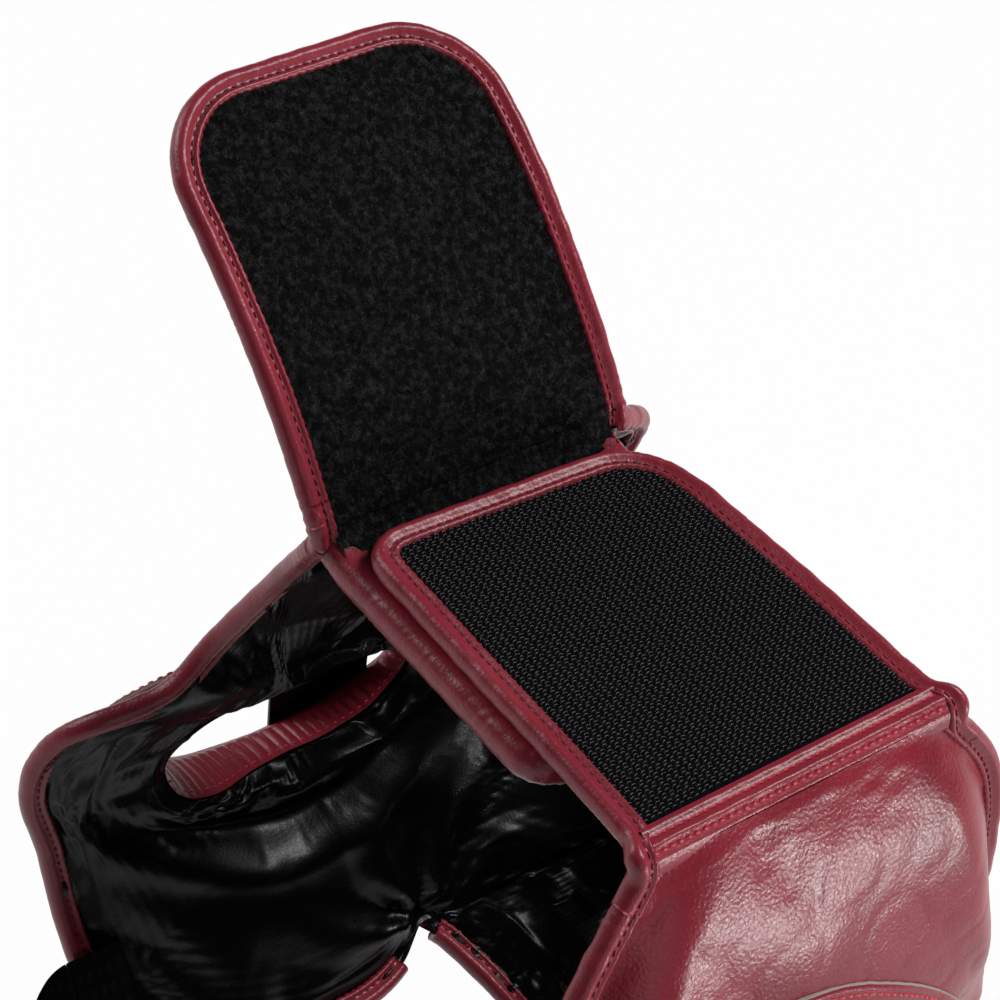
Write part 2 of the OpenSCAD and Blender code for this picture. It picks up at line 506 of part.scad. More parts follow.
module loop_tip_backing() color(burgundy) loop_layer(tip_rows, -edge_pad / 2, edge_pad / 2 - tape - fit);
module loop_tip_fleece() color(black) loop_layer(tip_rows, edge_pad / 2 - tape, edge_pad / 2);
module loop_tip_binding() binding([for (c = loop_rim) loop_frame(c)]);

// ---- tongue under the closure, sewn inside the left wing ----
tongue_x = -left_end + 0.5;
tongue_top = closure_z - 0.4;
tongue_core = tongue_foam_t + fit + skin;  // foam and lining
core_top = tongue_top - tape - fit;
tongue_half = closure_half - 4.5;
tongue_corner = 14;
fleece_inset = bind_lip + fit;           // the fleece lies inside the binding's lip
function tongue_rim(cut) = rim(tongue_length - cut, tongue_half - cut, tongue_half - cut,
  -left_shift, -left_shift, tongue_corner - cut, 0);
module tongue_layer(top, t, cut = 0) translate([tongue_x, 0, top - t]) linear_extrude(t)
  polygon([for (c = tongue_rim(cut)) [c[0], c[1]]]);
module tongue_fleece() color(black) tongue_layer(tongue_top, tape, fleece_inset);
module tongue_foam() color(charcoal) tongue_layer(core_top, tongue_foam_t);
module tongue_lining() color(black) tongue_layer(core_top - tongue_foam_t - fit, skin);
module tongue_edge() binding([for (c = tongue_rim(0))
  [[tongue_x + max(c[0], 1), c[1], core_top - tongue_core / 2], [c[2], c[3], 0], [0, 0, 1]]],
  tongue_core / 2 + fit);

// ---- chin strap ----
chin_u = 0.52;
chin_y = -jaw_drop - 8;                  // where the strap leaves the jaw edge
chin_bow = 0.9;                          // a flat strap bridging the jaw's curve
chin_w = -(roll_out - edge_pad / 2) - fit - chin_bow - chin_t;
chin_hold = at(1, chin_u, -jaw_drop, chin_w);
chin_slant = let (d = ring(1, chin_u + 0.02) - ring(1, chin_u - 0.02)) d[0] / d[1]; // follows the jaw
function chin_frame(a, off) = let (
    c = [chin_hold[0] * cos(a), chin_y - (chin_drop + chin_y) * sin(a), chin_hold[2]],
    run = unit([chin_hold[0] * sin(a), (chin_drop + chin_y) * cos(a), 0]),
    d = unit([chin_slant * cos(a), 0, 1]), n = unit(cross(run, d)))
  [c + off * n, d, n];
patch_t = 1.2;                           // hook and loop patches on the strap
chin_sewn = 10;                          // length sewn inside the jaw edge
chin_gap = chin_t + 2 * patch_t + 3 * fit; // from the tab's inner face to the strap's
function chin_lift(a) = chin_gap * ease((180 - a) / 110);
// A band from angle a0 to a1 round the chin, off(a) outside the first line
module chin_band(a0, a1, off, half, t, steps, hold = false) {
  frames = concat(
    hold ? let (f = chin_frame(a0, off(a0))) [for (y = [-jaw_drop + chin_sewn, -jaw_drop + 2])
      [[sign(f[0][0]) * at(1, chin_u, y, chin_w)[0], y, f[0][2]], f[1], f[2]]] : [],
    [for (k = [0:steps]) let (a = mix(a0, a1, k / steps)) chin_frame(a, off(a))]);
  slab([for (f = frames) [f[0] - half * f[1], f[0] + half * f[1]]],
       [for (f = frames) [f[0] - half * f[1] + t * f[2], f[0] + half * f[1] + t * f[2]]]);
}
chin_half = chin_width / 2;
chin_end = 24;                           // angle where the strap's free end lies
tab_end = 54;                            // angle where the tab ends
chin_split = 178.6;                      // angle where the strap starts to swing
module chin_strap() color(black)
  chin_band(chin_split - 0.4, chin_end, function (a) chin_lift(a), chin_half, chin_t, 14);
module chin_anchor() color(black)
  chin_band(180, chin_split + 0.4, function (a) 0, chin_half, chin_t, 1, true);
module chin_tab() color(black) chin_band(0, tab_end, function (a) 0, chin_half, chin_t, 6, true);
module chin_loop_patch() color(charcoal)
  chin_band(chin_end + 4, tab_end - 2, function (a) chin_t + fit, chin_half - 2, patch_t, 4);
module chin_hook_patch() color(charcoal)
  chin_band(chin_end + 4, tab_end - 2, function (a) chin_t + 2 * fit + patch_t, chin_half - 2, patch_t, 4);

brow_cover();
brow_foam();
brow_lining();
color(burgundy) side_panel(-1, 2);  // side_cover_left
color(charcoal) side_panel(-1, 1);  // side_foam_left
color(black) side_panel(-1, 0);  // side_lining_left
color(burgundy) side_panel(1, 2);  // side_cover_right
color(charcoal) side_panel(1, 1);  // side_foam_right
color(black) side_panel(1, 0);  // side_lining_right
color(burgundy) wing_panel(-1, 2);  // wing_cover_left
color(charcoal) wing_panel(-1, 1);  // wing_foam_left
color(black) wing_panel(-1, 0);  // wing_lining_left
color(burgundy) wing_panel(1, 2);  // wing_cover_right
color(charcoal) wing_panel(1, 1);  // wing_foam_right
color(black) wing_panel(1, 0);  // wing_lining_right
ear_guard(-1);  // ear_guard_left
ear_guard(1);  // ear_guard_right
ear_wall(-1);  // ear_wall_left
ear_wall(1);  // ear_wall_right
ear_strap(-1);  // ear_strap_left
ear_strap(1);  // ear_strap_right
neck_binding(-1);  // neck_binding_left
neck_binding(1);  // neck_binding_right
crown_binding(-1);  // crown_binding_left
crown_binding(1);  // crown_binding_right
crown_binding_front();
cheek_binding(-1);  // cheek_binding_left
cheek_binding(1);  // cheek_binding_right
brow_binding();
crown_pad();
crown_strap_front();
crown_strap_side(-1);  // crown_strap_left
crown_strap_side(1);  // crown_strap_right
hook_backing();
hook_tape();
hook_binding();
hook_welt();
loop_backing();
loop_fleece();
loop_binding();
loop_tip_backing();
loop_tip_fleece();
loop_tip_binding();
tongue_fleece();
tongue_foam();
tongue_lining();
tongue_edge();
chin_anchor();
chin_strap();
chin_hook_patch();
chin_tab();
chin_loop_patch();
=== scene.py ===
"""Boxing headgear laid face down with its rear closure open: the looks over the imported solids."""

import logging
import math
from dataclasses import dataclass
from enum import Enum
from typing import Callable, Optional, Sequence

import bpy
import numpy as np
from mathutils import Matrix, Vector


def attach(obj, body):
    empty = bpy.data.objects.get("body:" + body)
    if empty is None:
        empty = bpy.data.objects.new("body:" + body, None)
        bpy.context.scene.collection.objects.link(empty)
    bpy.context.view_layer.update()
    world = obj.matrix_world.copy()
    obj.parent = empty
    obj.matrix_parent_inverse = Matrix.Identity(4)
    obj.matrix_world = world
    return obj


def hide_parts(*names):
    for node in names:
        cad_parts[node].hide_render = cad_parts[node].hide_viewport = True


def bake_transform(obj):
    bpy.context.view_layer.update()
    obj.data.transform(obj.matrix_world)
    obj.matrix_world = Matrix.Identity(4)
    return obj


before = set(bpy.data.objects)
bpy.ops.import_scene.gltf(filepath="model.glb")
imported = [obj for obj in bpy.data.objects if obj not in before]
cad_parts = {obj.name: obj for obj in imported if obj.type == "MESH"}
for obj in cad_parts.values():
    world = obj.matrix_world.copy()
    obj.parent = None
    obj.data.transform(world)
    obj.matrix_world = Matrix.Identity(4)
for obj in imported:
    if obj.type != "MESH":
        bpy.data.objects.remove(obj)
LOG = logging.getLogger("headgear")
MM = 0.001
Array = np.ndarray
Piece = bpy.types.Object
Tree = bpy.types.NodeTree
Node = bpy.types.Node
Socket = bpy.types.NodeSocket


class Side(Enum):
    """Which side of the wearer's head a piece is on."""

    LEFT = -1
    RIGHT = 1


class Body(Enum):
    """The rigid bodies that pieces ride on."""

    SHELL = "shell"
    LOOP_FLAP = "loop_flap"
    LOOP_TIP = "loop_tip"
    TONGUE = "tongue"
    CHIN_STRAP = "chin_strap"


# ---------------------------------------------------------------- curves and noise


def unit(v: Array) -> Array:
    """Returns v with every vector along its last axis scaled to length 1."""
    return v / np.maximum(np.linalg.norm(v, axis=-1, keepdims=True), 1e-9)


def ease(x: Array) -> Array:
    """Returns a smooth step from 0 to 1 as x goes from 0 to 1."""
    t = np.clip(x, 0.0, 1.0)
    return t * t * (3 - 2 * t)


def bump(x: Array, width: float) -> Array:
    """Returns a smooth hill of height 1 at x = 0 that fades over about width."""
    return np.exp(-((x / width) ** 2))


def bezier(points: Sequence[Sequence[float]], t: Array) -> Array:
    """Evaluates a cubic.

    Args:
        points: The four control points.
        t: Where along it, from 0 to 1.

    Returns:
        One point for each t.
    """
    p, t = np.asarray(points, float), np.asarray(t, float)[..., None]
    s = 1 - t
    return s**3 * p[0] + 3 * t * s**2 * p[1] + 3 * t**2 * s * p[2] + t**3 * p[3]


def through(points: Sequence[Sequence[float]], x: Array) -> Array:
    """Evaluates a smooth curve through [place, height] pairs.

    Args:
        points: The pairs, in order of place.
        x: Where to evaluate it.

    Returns:
        The height at each x.
    """
    table = np.asarray(points, float)
    px, py = table[:, 0], table[:, 1]
    slopes = np.gradient(py, px) if len(px) > 2 else np.full(len(px), (py[-1] - py[0]) / (px[-1] - px[0]))
    slopes[1:-1] = (py[2:] - py[:-2]) / (px[2:] - px[:-2])
    x = np.asarray(x, float)
    i = np.clip(np.searchsorted(px, x, side="right") - 1, 0, len(px) - 2)
    h = px[i + 1] - px[i]
    t = np.clip((x - px[i]) / h, 0, 1)
    return (
        (2 * t**3 - 3 * t**2 + 1) * py[i]
        + (t**3 - 2 * t**2 + t) * h * slopes[i]
        + (3 * t**2 - 2 * t**3) * py[i + 1]
        + (t**3 - t**2) * h * slopes[i + 1]
    )


def ripple(places: Sequence[Array], length: float, seed: int) -> Array:
    """Smooth random relief.

    Args:
        places: One array of places in mm for each direction.
        length: The typical distance between crests, in mm.
        seed: Which relief; the same seed gives the same one.

    Returns:
        Heights from about -1 to 1.
    """
    rng = np.random.default_rng(seed)
    out = np.zeros(np.broadcast(*places).shape if len(places) > 1 else np.shape(places[0]))
    for _ in range(7):
        aim = rng.normal(size=len(places))
        aim *= 2 * math.pi / length * rng.uniform(0.6, 1.5) / np.linalg.norm(aim)
        phase = rng.uniform(0, 2 * math.pi)
        out = out + np.sin(sum(a * p for a, p in zip(aim, places)) + phase)
    return out / 3.6


def creases(places: Sequence[Array], length: float, seed: int) -> Array:
    """Sharp folds: 1 along each fold line, falling to 0 between them. Arguments as for ripple."""
    return np.exp(-((ripple(places, length, seed) / 0.16) ** 2))


def along(points: Array) -> Array:
    """Returns the distance of each point from the first, measured along the line."""
    steps = np.linalg.norm(np.diff(points, axis=0), axis=1)
    return np.concatenate([[0.0], np.cumsum(steps)])


def evenly(points: Array, spacing: float, *riders: Array) -> list[Array]:
    """Spaces points evenly along a line.

    Args:
        points: The line's points.
        spacing: The wanted distance between them.
        riders: Other arrays with one row for each point, carried along.

    Returns:
        The new points, and each rider at the new places.
    """
    s = along(points)
    new = np.linspace(0, s[-1], max(3, int(round(s[-1] / spacing)) + 1))
    return [
        np.stack([np.interp(new, s, a[:, k]) for k in range(a.shape[1])], axis=1)
        for a in (points, *riders)
    ]


def soften(points: Array, rounds: int) -> Array:
    """Returns a line with its kinks rounded off; its ends stay."""
    out = points.copy()
    for _ in range(rounds):
        out[1:-1] = 0.25 * out[:-2] + 0.5 * out[1:-1] + 0.25 * out[2:]
    return out


# ---------------------------------------------------------------- meshes


def make_mesh(name: str, verts: Array, faces: Sequence[Sequence[int]], finish: "Finish") -> Piece:
    """Builds a smooth-shaded object.

    Args:
        name: The piece's name.
        verts: Its points, in millimetres.
        faces: Corner numbers of each face.
        finish: Its material.

    Returns:
        The object, linked to the scene.
    """
    if name in bpy.data.objects:
        name += "_soft"
    mesh = bpy.data.meshes.new(name)
    mesh.from_pydata((np.asarray(verts, float).reshape(-1, 3) * MM).tolist(), [], [list(f) for f in faces])
    mesh.materials.append(finish.material())
    mesh.shade_smooth()
    piece = bpy.data.objects.new(name, mesh)
    bpy.context.scene.collection.objects.link(piece)
    return piece


def grid_faces(rows: int, cols: int, close_rows: bool = False, close_cols: bool = False) -> list[list[int]]:
    """Corner numbers of the cells of a grid.

    Args:
        rows: Rows of points.
        cols: Points in each row.
        close_rows: Whether the last row joins the first.
        close_cols: Whether the last point of a row joins its first.

    Returns:
        Four numbers for each cell.
    """
    i, j = np.meshgrid(np.arange(rows - (not close_rows)), np.arange(cols - (not close_cols)), indexing="ij")
    k, l = (i + 1) % rows, (j + 1) % cols
    return np.stack([i * cols + j, k * cols + j, k * cols + l, i * cols + l], axis=-1).reshape(-1, 4).tolist()


def outward_faces(verts: Array, faces: list[list[int]], aim: Array) -> list[list[int]]:
    """Turns every face over if, on the whole, they look against aim.

    Args:
        verts: The points.
        faces: Corner numbers of each face.
        aim: The way the surface should look at each point.

    Returns:
        The faces, turned over or not.
    """
    v, f = verts.reshape(-1, 3), np.asarray(faces)
    normals = np.cross(v[f[:, 1]] - v[f[:, 0]], v[f[:, 2]] - v[f[:, 0]])
    if (normals * aim.reshape(-1, 3)[f[:, 0]]).sum() < 0:
        return f[:, ::-1].tolist()
    return faces


def sheet_mesh(name: str, grid: Array, aim: Array, finish: "Finish", closed: bool = False) -> Piece:
    """Builds a surface from a grid of points.

    Args:
        name: The piece's name.
        grid: Rows of points, in millimetres.
        aim: The way the surface looks at each point.
        finish: Its material.
        closed: Whether the last row joins the first.

    Returns:
        The object.
    """
    faces = grid_faces(grid.shape[0], grid.shape[1], close_rows=closed)
    return make_mesh(name, grid, outward_faces(grid, faces, aim), finish)


def tube_mesh(name: str, rings: Array, finish: "Finish") -> Piece:
    """Builds a closed tube from rings of points, with its ends filled.

    Args:
        name: The piece's name.
        rings: One ring of points for each station, in millimetres.
        finish: Its material.

    Returns:
        The object.
    """
    n, m = rings.shape[:2]
    faces = grid_faces(n, m, close_cols=True)
    middle = rings.mean(axis=1, keepdims=True)
    faces = outward_faces(rings, faces, rings - middle)
    verts = np.concatenate([rings.reshape(-1, 3), middle[0], middle[-1]])
    flip = faces[0][1] == m
    for ring, hub, turn in ((0, n * m, flip), (n - 1, n * m + 1, not flip)):
        for j in range(m):
            a, b = ring * m + j, ring * m + (j + 1) % m
            faces.append([hub, a, b] if not turn else [hub, b, a])
    return make_mesh(name, verts, faces, finish)


def slab_mesh(name: str, top: Array, bottom: Array, finish: "Finish") -> Piece:
    """Builds a closed slab between two matching grids.

    Args:
        name: The piece's name.
        top: Its upper points, in millimetres.
        bottom: Its lower points.
        finish: Its material.

    Returns:
        The slab.
    """
    rows, cols = top.shape[:2]
    size = rows * cols
    up = np.asarray(outward_faces(top, grid_faces(rows, cols), top - bottom))
    number = np.arange(size).reshape(rows, cols)
    loop = np.concatenate([number[0, :-1], number[:-1, -1], number[-1, :0:-1], number[:0:-1, 0]])
    ahead = np.roll(loop, -1)
    verts = np.concatenate([top.reshape(-1, 3), bottom.reshape(-1, 3)])
    wall = np.stack([loop, ahead, ahead + size, loop + size], axis=1).tolist()
    wall = outward_faces(verts, wall, verts - verts.mean(axis=0))
    return make_mesh(name, verts, up.tolist() + (up[:, ::-1] + size).tolist() + wall, finish)


def repeated(faces: Sequence[Sequence[int]], count: int, points: int) -> list[list[int]]:
    """Returns the faces of count copies of a piece that has so many points."""
    one = np.asarray(faces)
    return (one[None] + points * np.arange(count)[:, None, None]).reshape(-1, one.shape[1]).tolist()


def capsules(name: str, places: Array, runs: Array, ups: Array, length: float, thick: float,
             finish: "Finish") -> Piece:
    """Builds short rounded bars, such as the stitches of a seam.

    Args:
        name: The piece's name.
        places: The middle of each, in millimetres.
        runs: The way each lies.
        ups: The way out of the surface that it lies on.
        length: Its length, in millimetres.
        thick: Its thickness, in millimetres.
        finish: Its material.

    Returns:
        One object that holds them all.
    """
    runs = unit(runs)
    sides = unit(np.cross(ups, runs))
    ups = np.cross(runs, sides)
    stations = np.array([-0.5, -0.36, 0.0, 0.36, 0.5])
    widths = np.array([0.35, 0.92, 1.0, 0.92, 0.35])
    lifts = np.array([-0.55, -0.1, 0.12, -0.1, -0.55])
    turns = np.arange(6) * math.pi / 3
    ring = np.stack([np.cos(turns), np.sin(turns)], axis=1) * thick / 2
    n, m, k = len(places), len(stations), len(turns)
    v = (
        places[:, None, None]
        + runs[:, None, None] * (stations * length)[None, :, None, None]
        + sides[:, None, None] * (widths[:, None] * ring[None, :, 0])[None, :, :, None]
        + ups[:, None, None] * (widths[:, None] * ring[None, :, 1] + lifts[:, None] * thick)[None, :, :, None]
    )
    caps = np.stack([np.arange(k)[::-1], (m - 1) * k + np.arange(k)])
    body, ends = (repeated(f, n, m * k) for f in (grid_faces(m, k, close_cols=True), caps))
    return make_mesh(name, v, body + ends, finish)


def stitch_line(name: str, line: Array, ups: Array, pitch: float, finish: "Finish",
                length: float = 2.0, thick: float = 0.62) -> Piece:
    """Sews a row of stitches along a line.

    Args:
        name: The piece's name.
        line: Points along the row, in millimetres.
        ups: The way out of the surface at each point.
        pitch: From one stitch to the next, in millimetres.
        finish: The thread.
        length: The part of each stitch that shows, in millimetres.
        thick: The thread's thickness, in millimetres.

    Returns:
        The row as one object.
    """
    spaced, up = evenly(line, pitch, ups)
    runs = unit(np.gradient(spaced, axis=0))
    return capsules(name, spaced[:-1], runs[:-1], up[:-1], length, thick, finish)


def simulate(grid: Array, pinned: Array, grow: float, pressure: float, cap: float, aim: Array,
             closed: bool = False) -> Array:
    """Lets a cloth settle, sewn down along its pinned points and a little too big for its place.

    Args:
        grid: Rows of points, in millimetres.
        pinned: How firmly each point is held, from 0 to 1.
        grow: How much bigger the cloth is than its place, as a share.
        pressure: The padding's push.
        cap: The furthest that a point may move, in millimetres.
        aim: The way that the padding pushes at each point.
        closed: Whether the last row joins the first.

    Returns:
        How far each point moved, in millimetres.
    """
    rows, cols = grid.shape[:2]
    mesh = bpy.data.meshes.new("cloth")
    faces = outward_faces(grid, grid_faces(rows, cols, close_rows=closed), aim)
    mesh.from_pydata((grid.reshape(-1, 3) * MM).tolist(), [], faces)
    cloth = bpy.data.objects.new("cloth", mesh)
    bpy.context.scene.collection.objects.link(cloth)
    held = cloth.vertex_groups.new(name="held")
    for i, weight in enumerate(pinned.reshape(-1)):
        if weight > 0:
            held.add([i], float(weight), "REPLACE")
    modifier = cloth.modifiers.new("cloth", "CLOTH")
    s = modifier.settings
    s.quality, s.mass = 6, 0.25
    s.tension_stiffness, s.compression_stiffness, s.bending_stiffness = 22, 22, 0.35
    s.shrink_min = s.shrink_max = -grow
    s.vertex_group_mass = "held"
    s.pin_stiffness = 4
    s.use_pressure, s.uniform_pressure_force = True, pressure
    s.effector_weights.gravity = 0
    modifier.collision_settings.use_collision = False
    modifier.point_cache.frame_start, modifier.point_cache.frame_end = 1, 20
    scene = bpy.context.scene
    for step in range(1, 21):
        scene.frame_set(step)
    shape = cloth.evaluated_get(bpy.context.evaluated_depsgraph_get()).data
    moved = np.zeros(rows * cols * 3)
    shape.vertices.foreach_get("co", moved)
    moved = moved.reshape(grid.shape) / MM - grid
    scene.frame_set(1)
    bpy.data.objects.remove(cloth)
    size = np.linalg.norm(moved, axis=-1, keepdims=True)
    return moved * np.tanh(size / cap) * cap / np.maximum(size, 1e-6)


def finer(grid: Array, rows: int, cols: int, closed: bool = False) -> Array:
    """Spreads values on a coarse grid over a finer one.

    Args:
        grid: The coarse values.
        rows: Rows of the finer grid.
        cols: Columns of the finer grid.
        closed: Whether the last row joins the first.

    Returns:
        The values on the finer grid.
    """
    if closed:
        grid = np.concatenate([grid, grid[:1]])
    m, n = grid.shape[:2]
    a = np.arange(rows) / (rows if closed else rows - 1) * (m - 1)
    b = np.linspace(0, n - 1, cols)
    i, j = np.minimum(a.astype(int), m - 2), np.minimum(b.astype(int), n - 2)
    s, t = (a - i)[:, None, None], (b - j)[None, :, None]
    s, t = s * s * (3 - 2 * s), t * t * (3 - 2 * t)
    return (
        grid[i][:, j] * (1 - s) * (1 - t) + grid[i + 1][:, j] * s * (1 - t)
        + grid[i][:, j + 1] * (1 - s) * t + grid[i + 1][:, j + 1] * s * t
    )


# ---------------------------------------------------------------- finishes


def linear(hex_colour: str) -> tuple[float, float, float, float]:
    """Turns an sRGB hex colour to linear.

    Args:
        hex_colour: Such as "#7d2433".

    Returns:
        Red, green, blue and 1.
    """
    parts = [int(hex_colour[i : i + 2], 16) / 255 for i in (1, 3, 5)]
    r, g, b = [c / 12.92 if c <= 0.04045 else ((c + 0.055) / 1.055) ** 2.4 for c in parts]
    return (r, g, b, 1.0)


def node(tree: Tree, kind: str, links: Optional[dict] = None, **settings: object) -> Node:
    """Adds a node.

    Args:
        tree: Where to add it.
        kind: Its type name.
        links: For each input name or number, a socket to link or a value to set.
        settings: The node's own settings.

    Returns:
        The node.
    """
    made = tree.nodes.new(kind)
    for key, value in settings.items():
        setattr(made, key, value)
    for key, value in (links or {}).items():
        socket = made.inputs[key]
        if isinstance(value, Socket):
            tree.links.new(value, socket)
        else:
            socket.default_value = value
    return made


def per_mm(size_mm: float) -> float:
    """Returns the texture scale at which a pattern's cell is size_mm across, in a frame in metres."""
    return 1.0 / (size_mm * MM)


@dataclass(frozen=True)
class Finish:
    """A surface: what it is made of and how."""

    name: str
    colour: str
    roughness: float = 0.5
    ior: float = 1.5

    def material(self) -> bpy.types.Material:
        """Returns the material, made the first time it is asked for."""
        found = bpy.data.materials.get(self.name)
        if found:
            return found
        made = bpy.data.materials.new(self.name)
        made.use_nodes = True
        tree = made.node_tree
        shader = tree.nodes["Principled BSDF"]
        shader.inputs["Base Color"].default_value = linear(self.colour)
        shader.inputs["Roughness"].default_value = self.roughness
        shader.inputs["IOR"].default_value = self.ior
        self.dress(tree, shader)
        return made

    def dress(self, tree: Tree, shader: Node) -> None:
        """Adds what the surface shows beyond its colour and roughness."""

    @staticmethod
    def place(tree: Tree) -> Socket:
        """Returns the point on the object, in metres."""
        return node(tree, "ShaderNodeTexCoord").outputs["Object"]


def noise(tree: Tree, place: Socket, size_mm: float, detail: float, **more: float) -> Node:
    """Adds fractal noise with features size_mm across."""
    links = {"Vector": place, "Scale": per_mm(size_mm), "Detail": detail, **more}
    return node(tree, "ShaderNodeTexNoise", links)


def maths(tree: Tree, kind: str, first: object, second: object) -> Socket:
    """Adds the sum of two values, or what else kind names."""
    return node(tree, "ShaderNodeMath", {0: first, 1: second}, operation=kind).outputs[0]


def shades(tree: Tree, value: Socket, stops: Sequence[tuple[float, str]]) -> Socket:
    """Adds colours that change with a value.

    Args:
        tree: Where to add them.
        value: What picks the colour.
        stops: The value and the sRGB colour of each stop.

    Returns:
        The colour.
    """
    made = node(tree, "ShaderNodeValToRGB", {"Fac": value})
    elements = made.color_ramp.elements
    for k, (at, colour) in enumerate(stops):
        stop = elements[k] if k < 2 else elements.new(at)
        stop.position, stop.color = at, linear(colour)
    return made.outputs["Color"]


def emboss(tree: Tree, height: Socket, deep_mm: float, strength: float, under: Optional[Socket] = None,
           **settings: object) -> Socket:
    """Adds relief.

    Args:
        tree: Where to add it.
        height: The relief's shape.
        deep_mm: Its depth, in millimetres.
        strength: How much of it shows.
        under: The relief that it lies on.
        settings: The node's own settings.

    Returns:
        The normal.
    """
    links = {"Height": height, "Distance": deep_mm * MM, "Strength": strength}
    if under:
        links["Normal"] = under
    return node(tree, "ShaderNodeBump", links, **settings).outputs[0]


@dataclass(frozen=True)
class Leather(Finish):
    """Polyurethane-coated split leather, roller-embossed with a fine pebble grain.

    The coat gives a soft broad shine that the grain breaks up; stretched places are a little lighter.
    """

    deep: str = "#5e1724"
    worn: str = "#963d4a"
    shine: float = 0.5
    grain_mm: float = 1.5
    grain_depth: float = 0.16
    crackle: float = 0.5
    cells: float = 1.6
    pore_mm: float = 0.5
    patch_mm: float = 26.0
    uneven: float = 0.45

    def dress(self, tree: Tree, shader: Node) -> None:
        """Adds the grain, its shine and the colour's variation."""
        place = self.place(tree)
        shader.inputs["Specular IOR Level"].default_value = self.shine
        bend = noise(tree, place, 3.0, 2.0).outputs["Color"]
        warped = node(tree, "ShaderNodeVectorMath", {0: bend, "Scale": 0.9 * MM}, operation="SCALE")
        moved = node(tree, "ShaderNodeVectorMath", {0: place, 1: warped.outputs[0]}, operation="ADD")
        pebbles, valleys = (
            node(tree, "ShaderNodeTexVoronoi", {"Vector": moved.outputs[0], "Scale": per_mm(size)},
                 feature=kind)
            for size, kind in ((self.grain_mm, "SMOOTH_F1"), (self.grain_mm * self.cells, "DISTANCE_TO_EDGE"))
        )
        lines = node(tree, "ShaderNodeMapRange", {"Value": valleys.outputs["Distance"], "From Max": 0.09})
        pores = noise(tree, place, self.pore_mm, 3.0).outputs["Fac"]
        patches = noise(tree, place, self.patch_mm, 4.0).outputs["Fac"]
        shade = shades(tree, patches, ((0.28, self.deep), (0.52, self.colour), (0.80, self.worn)))
        tint = node(tree, "ShaderNodeMix", {"Factor": self.uneven, 6: linear(self.colour), 7: shade},
                    data_type="RGBA")
        tree.links.new(tint.outputs[2], shader.inputs["Base Color"])
        rough = node(tree, "ShaderNodeMapRange",
                     {"Value": pores, "From Min": 0.3, "From Max": 0.7,
                      "To Min": self.roughness - 0.06, "To Max": self.roughness + 0.08})
        tree.links.new(rough.outputs[0], shader.inputs["Roughness"])
        fine = emboss(tree, pores, 0.05, 0.25)
        grain = emboss(tree, pebbles.outputs["Distance"], self.grain_depth, 1.0, fine, invert=True)
        last = emboss(tree, lines.outputs[0], 0.05, self.crackle, grain)
        tree.links.new(last, shader.inputs["Normal"])


@dataclass(frozen=True)
class Pile(Finish):
    """Brushed knitted loop pile: matt, with the light that the fuzz catches painted into its colour as fine
    grey specks (a painted highlight).
    """

    painted_glint: str = "#3c3c3f"
    pile_mm: float = 0.9
    clump_mm: float = 2.2

    def dress(self, tree: Tree, shader: Node) -> None:
        """Adds the tufts, and the grey specks painted into the colour as highlights on the fibres."""
        place = self.place(tree)
        pile = noise(tree, place, self.pile_mm, 5.0, Roughness=0.75).outputs["Fac"]
        clumps = noise(tree, place, self.clump_mm, 3.0).outputs["Fac"]
        mixed = maths(tree, "MULTIPLY", maths(tree, "ADD", pile, clumps), 0.5)
        # The colour runs from the pile's own black to a painted highlight grey where the noise is high.
        colour = shades(tree, mixed, ((0.48, self.colour), (0.80, self.painted_glint)))
        tree.links.new(colour, shader.inputs["Base Color"])
        shader.inputs["Specular IOR Level"].default_value = 0.15
        tree.links.new(emboss(tree, pile, 0.8, 0.9), shader.inputs["Normal"])


@dataclass(frozen=True)
class Weave(Finish):
    """Plain-woven polyester or nylon: a fine even check of highlights where the yarns cross, painted into the
    colour over a matching bump.
    """

    yarn_mm: float = 0.9
    # light: the painted highlight colour where the yarns cross.
    light: str = "#3a3a3e"

    def dress(self, tree: Tree, shader: Node) -> None:
        """Adds the crossing yarns: a bump, and their highlights painted into the colour."""
        place = self.place(tree)
        links = {"Vector": place, "Scale": per_mm(self.yarn_mm) / (2 * math.pi) * 0.63, "Distortion": 0.4}
        warp, weft = (node(tree, "ShaderNodeTexWave", links, bands_direction=way) for way in ("X", "Y"))
        both = maths(tree, "MULTIPLY", warp.outputs["Fac"], weft.outputs["Fac"])
        # Painted highlight: lighter colour where warp and weft cross.
        colour = shades(tree, both, ((0.0, self.colour), (1.0, self.light)))
        tree.links.new(colour, shader.inputs["Base Color"])
        shader.inputs["Specular IOR Level"].default_value = 0.05
        tree.links.new(emboss(tree, both, 0.25, 0.8), shader.inputs["Normal"])


@dataclass(frozen=True)
class Thread(Finish):
    """Twisted polyester sewing thread: a slight shine and fine slanting plies."""

    def dress(self, tree: Tree, shader: Node) -> None:
        """Adds the plies."""
        links = {"Vector": self.place(tree), "Scale": per_mm(2.6), "Distortion": 1.0}
        twist = node(tree, "ShaderNodeTexWave", links, bands_direction="DIAGONAL")
        tree.links.new(emboss(tree, twist.outputs["Fac"], 0.08, 0.7), shader.inputs["Normal"])


# Cover leather: burgundy polyurethane-coated split, embossed on a roller.
BURGUNDY = Leather("pu_leather_burgundy_embossed", "#84202e", 0.31, deep="#5a131f", grain_mm=1.0,
                   grain_depth=0.10, crackle=0.28, shine=0.30)
# The same leather, skived thin and folded over the edges.
BURGUNDY_SMALL = Leather("pu_leather_burgundy_binding", "#8a2534", 0.36, deep="#661827", grain_mm=0.9,
                         grain_depth=0.09, crackle=0.25, shine=0.42)
# Lining: thin polyurethane-coated cloth, smooth and black.
LINING = Leather("pu_lining_black_smooth", "#060607", 0.30, deep="#040404", worn="#0a0a0b", grain_mm=1.1,
                 grain_depth=0.03, crackle=0.15, shine=0.16)
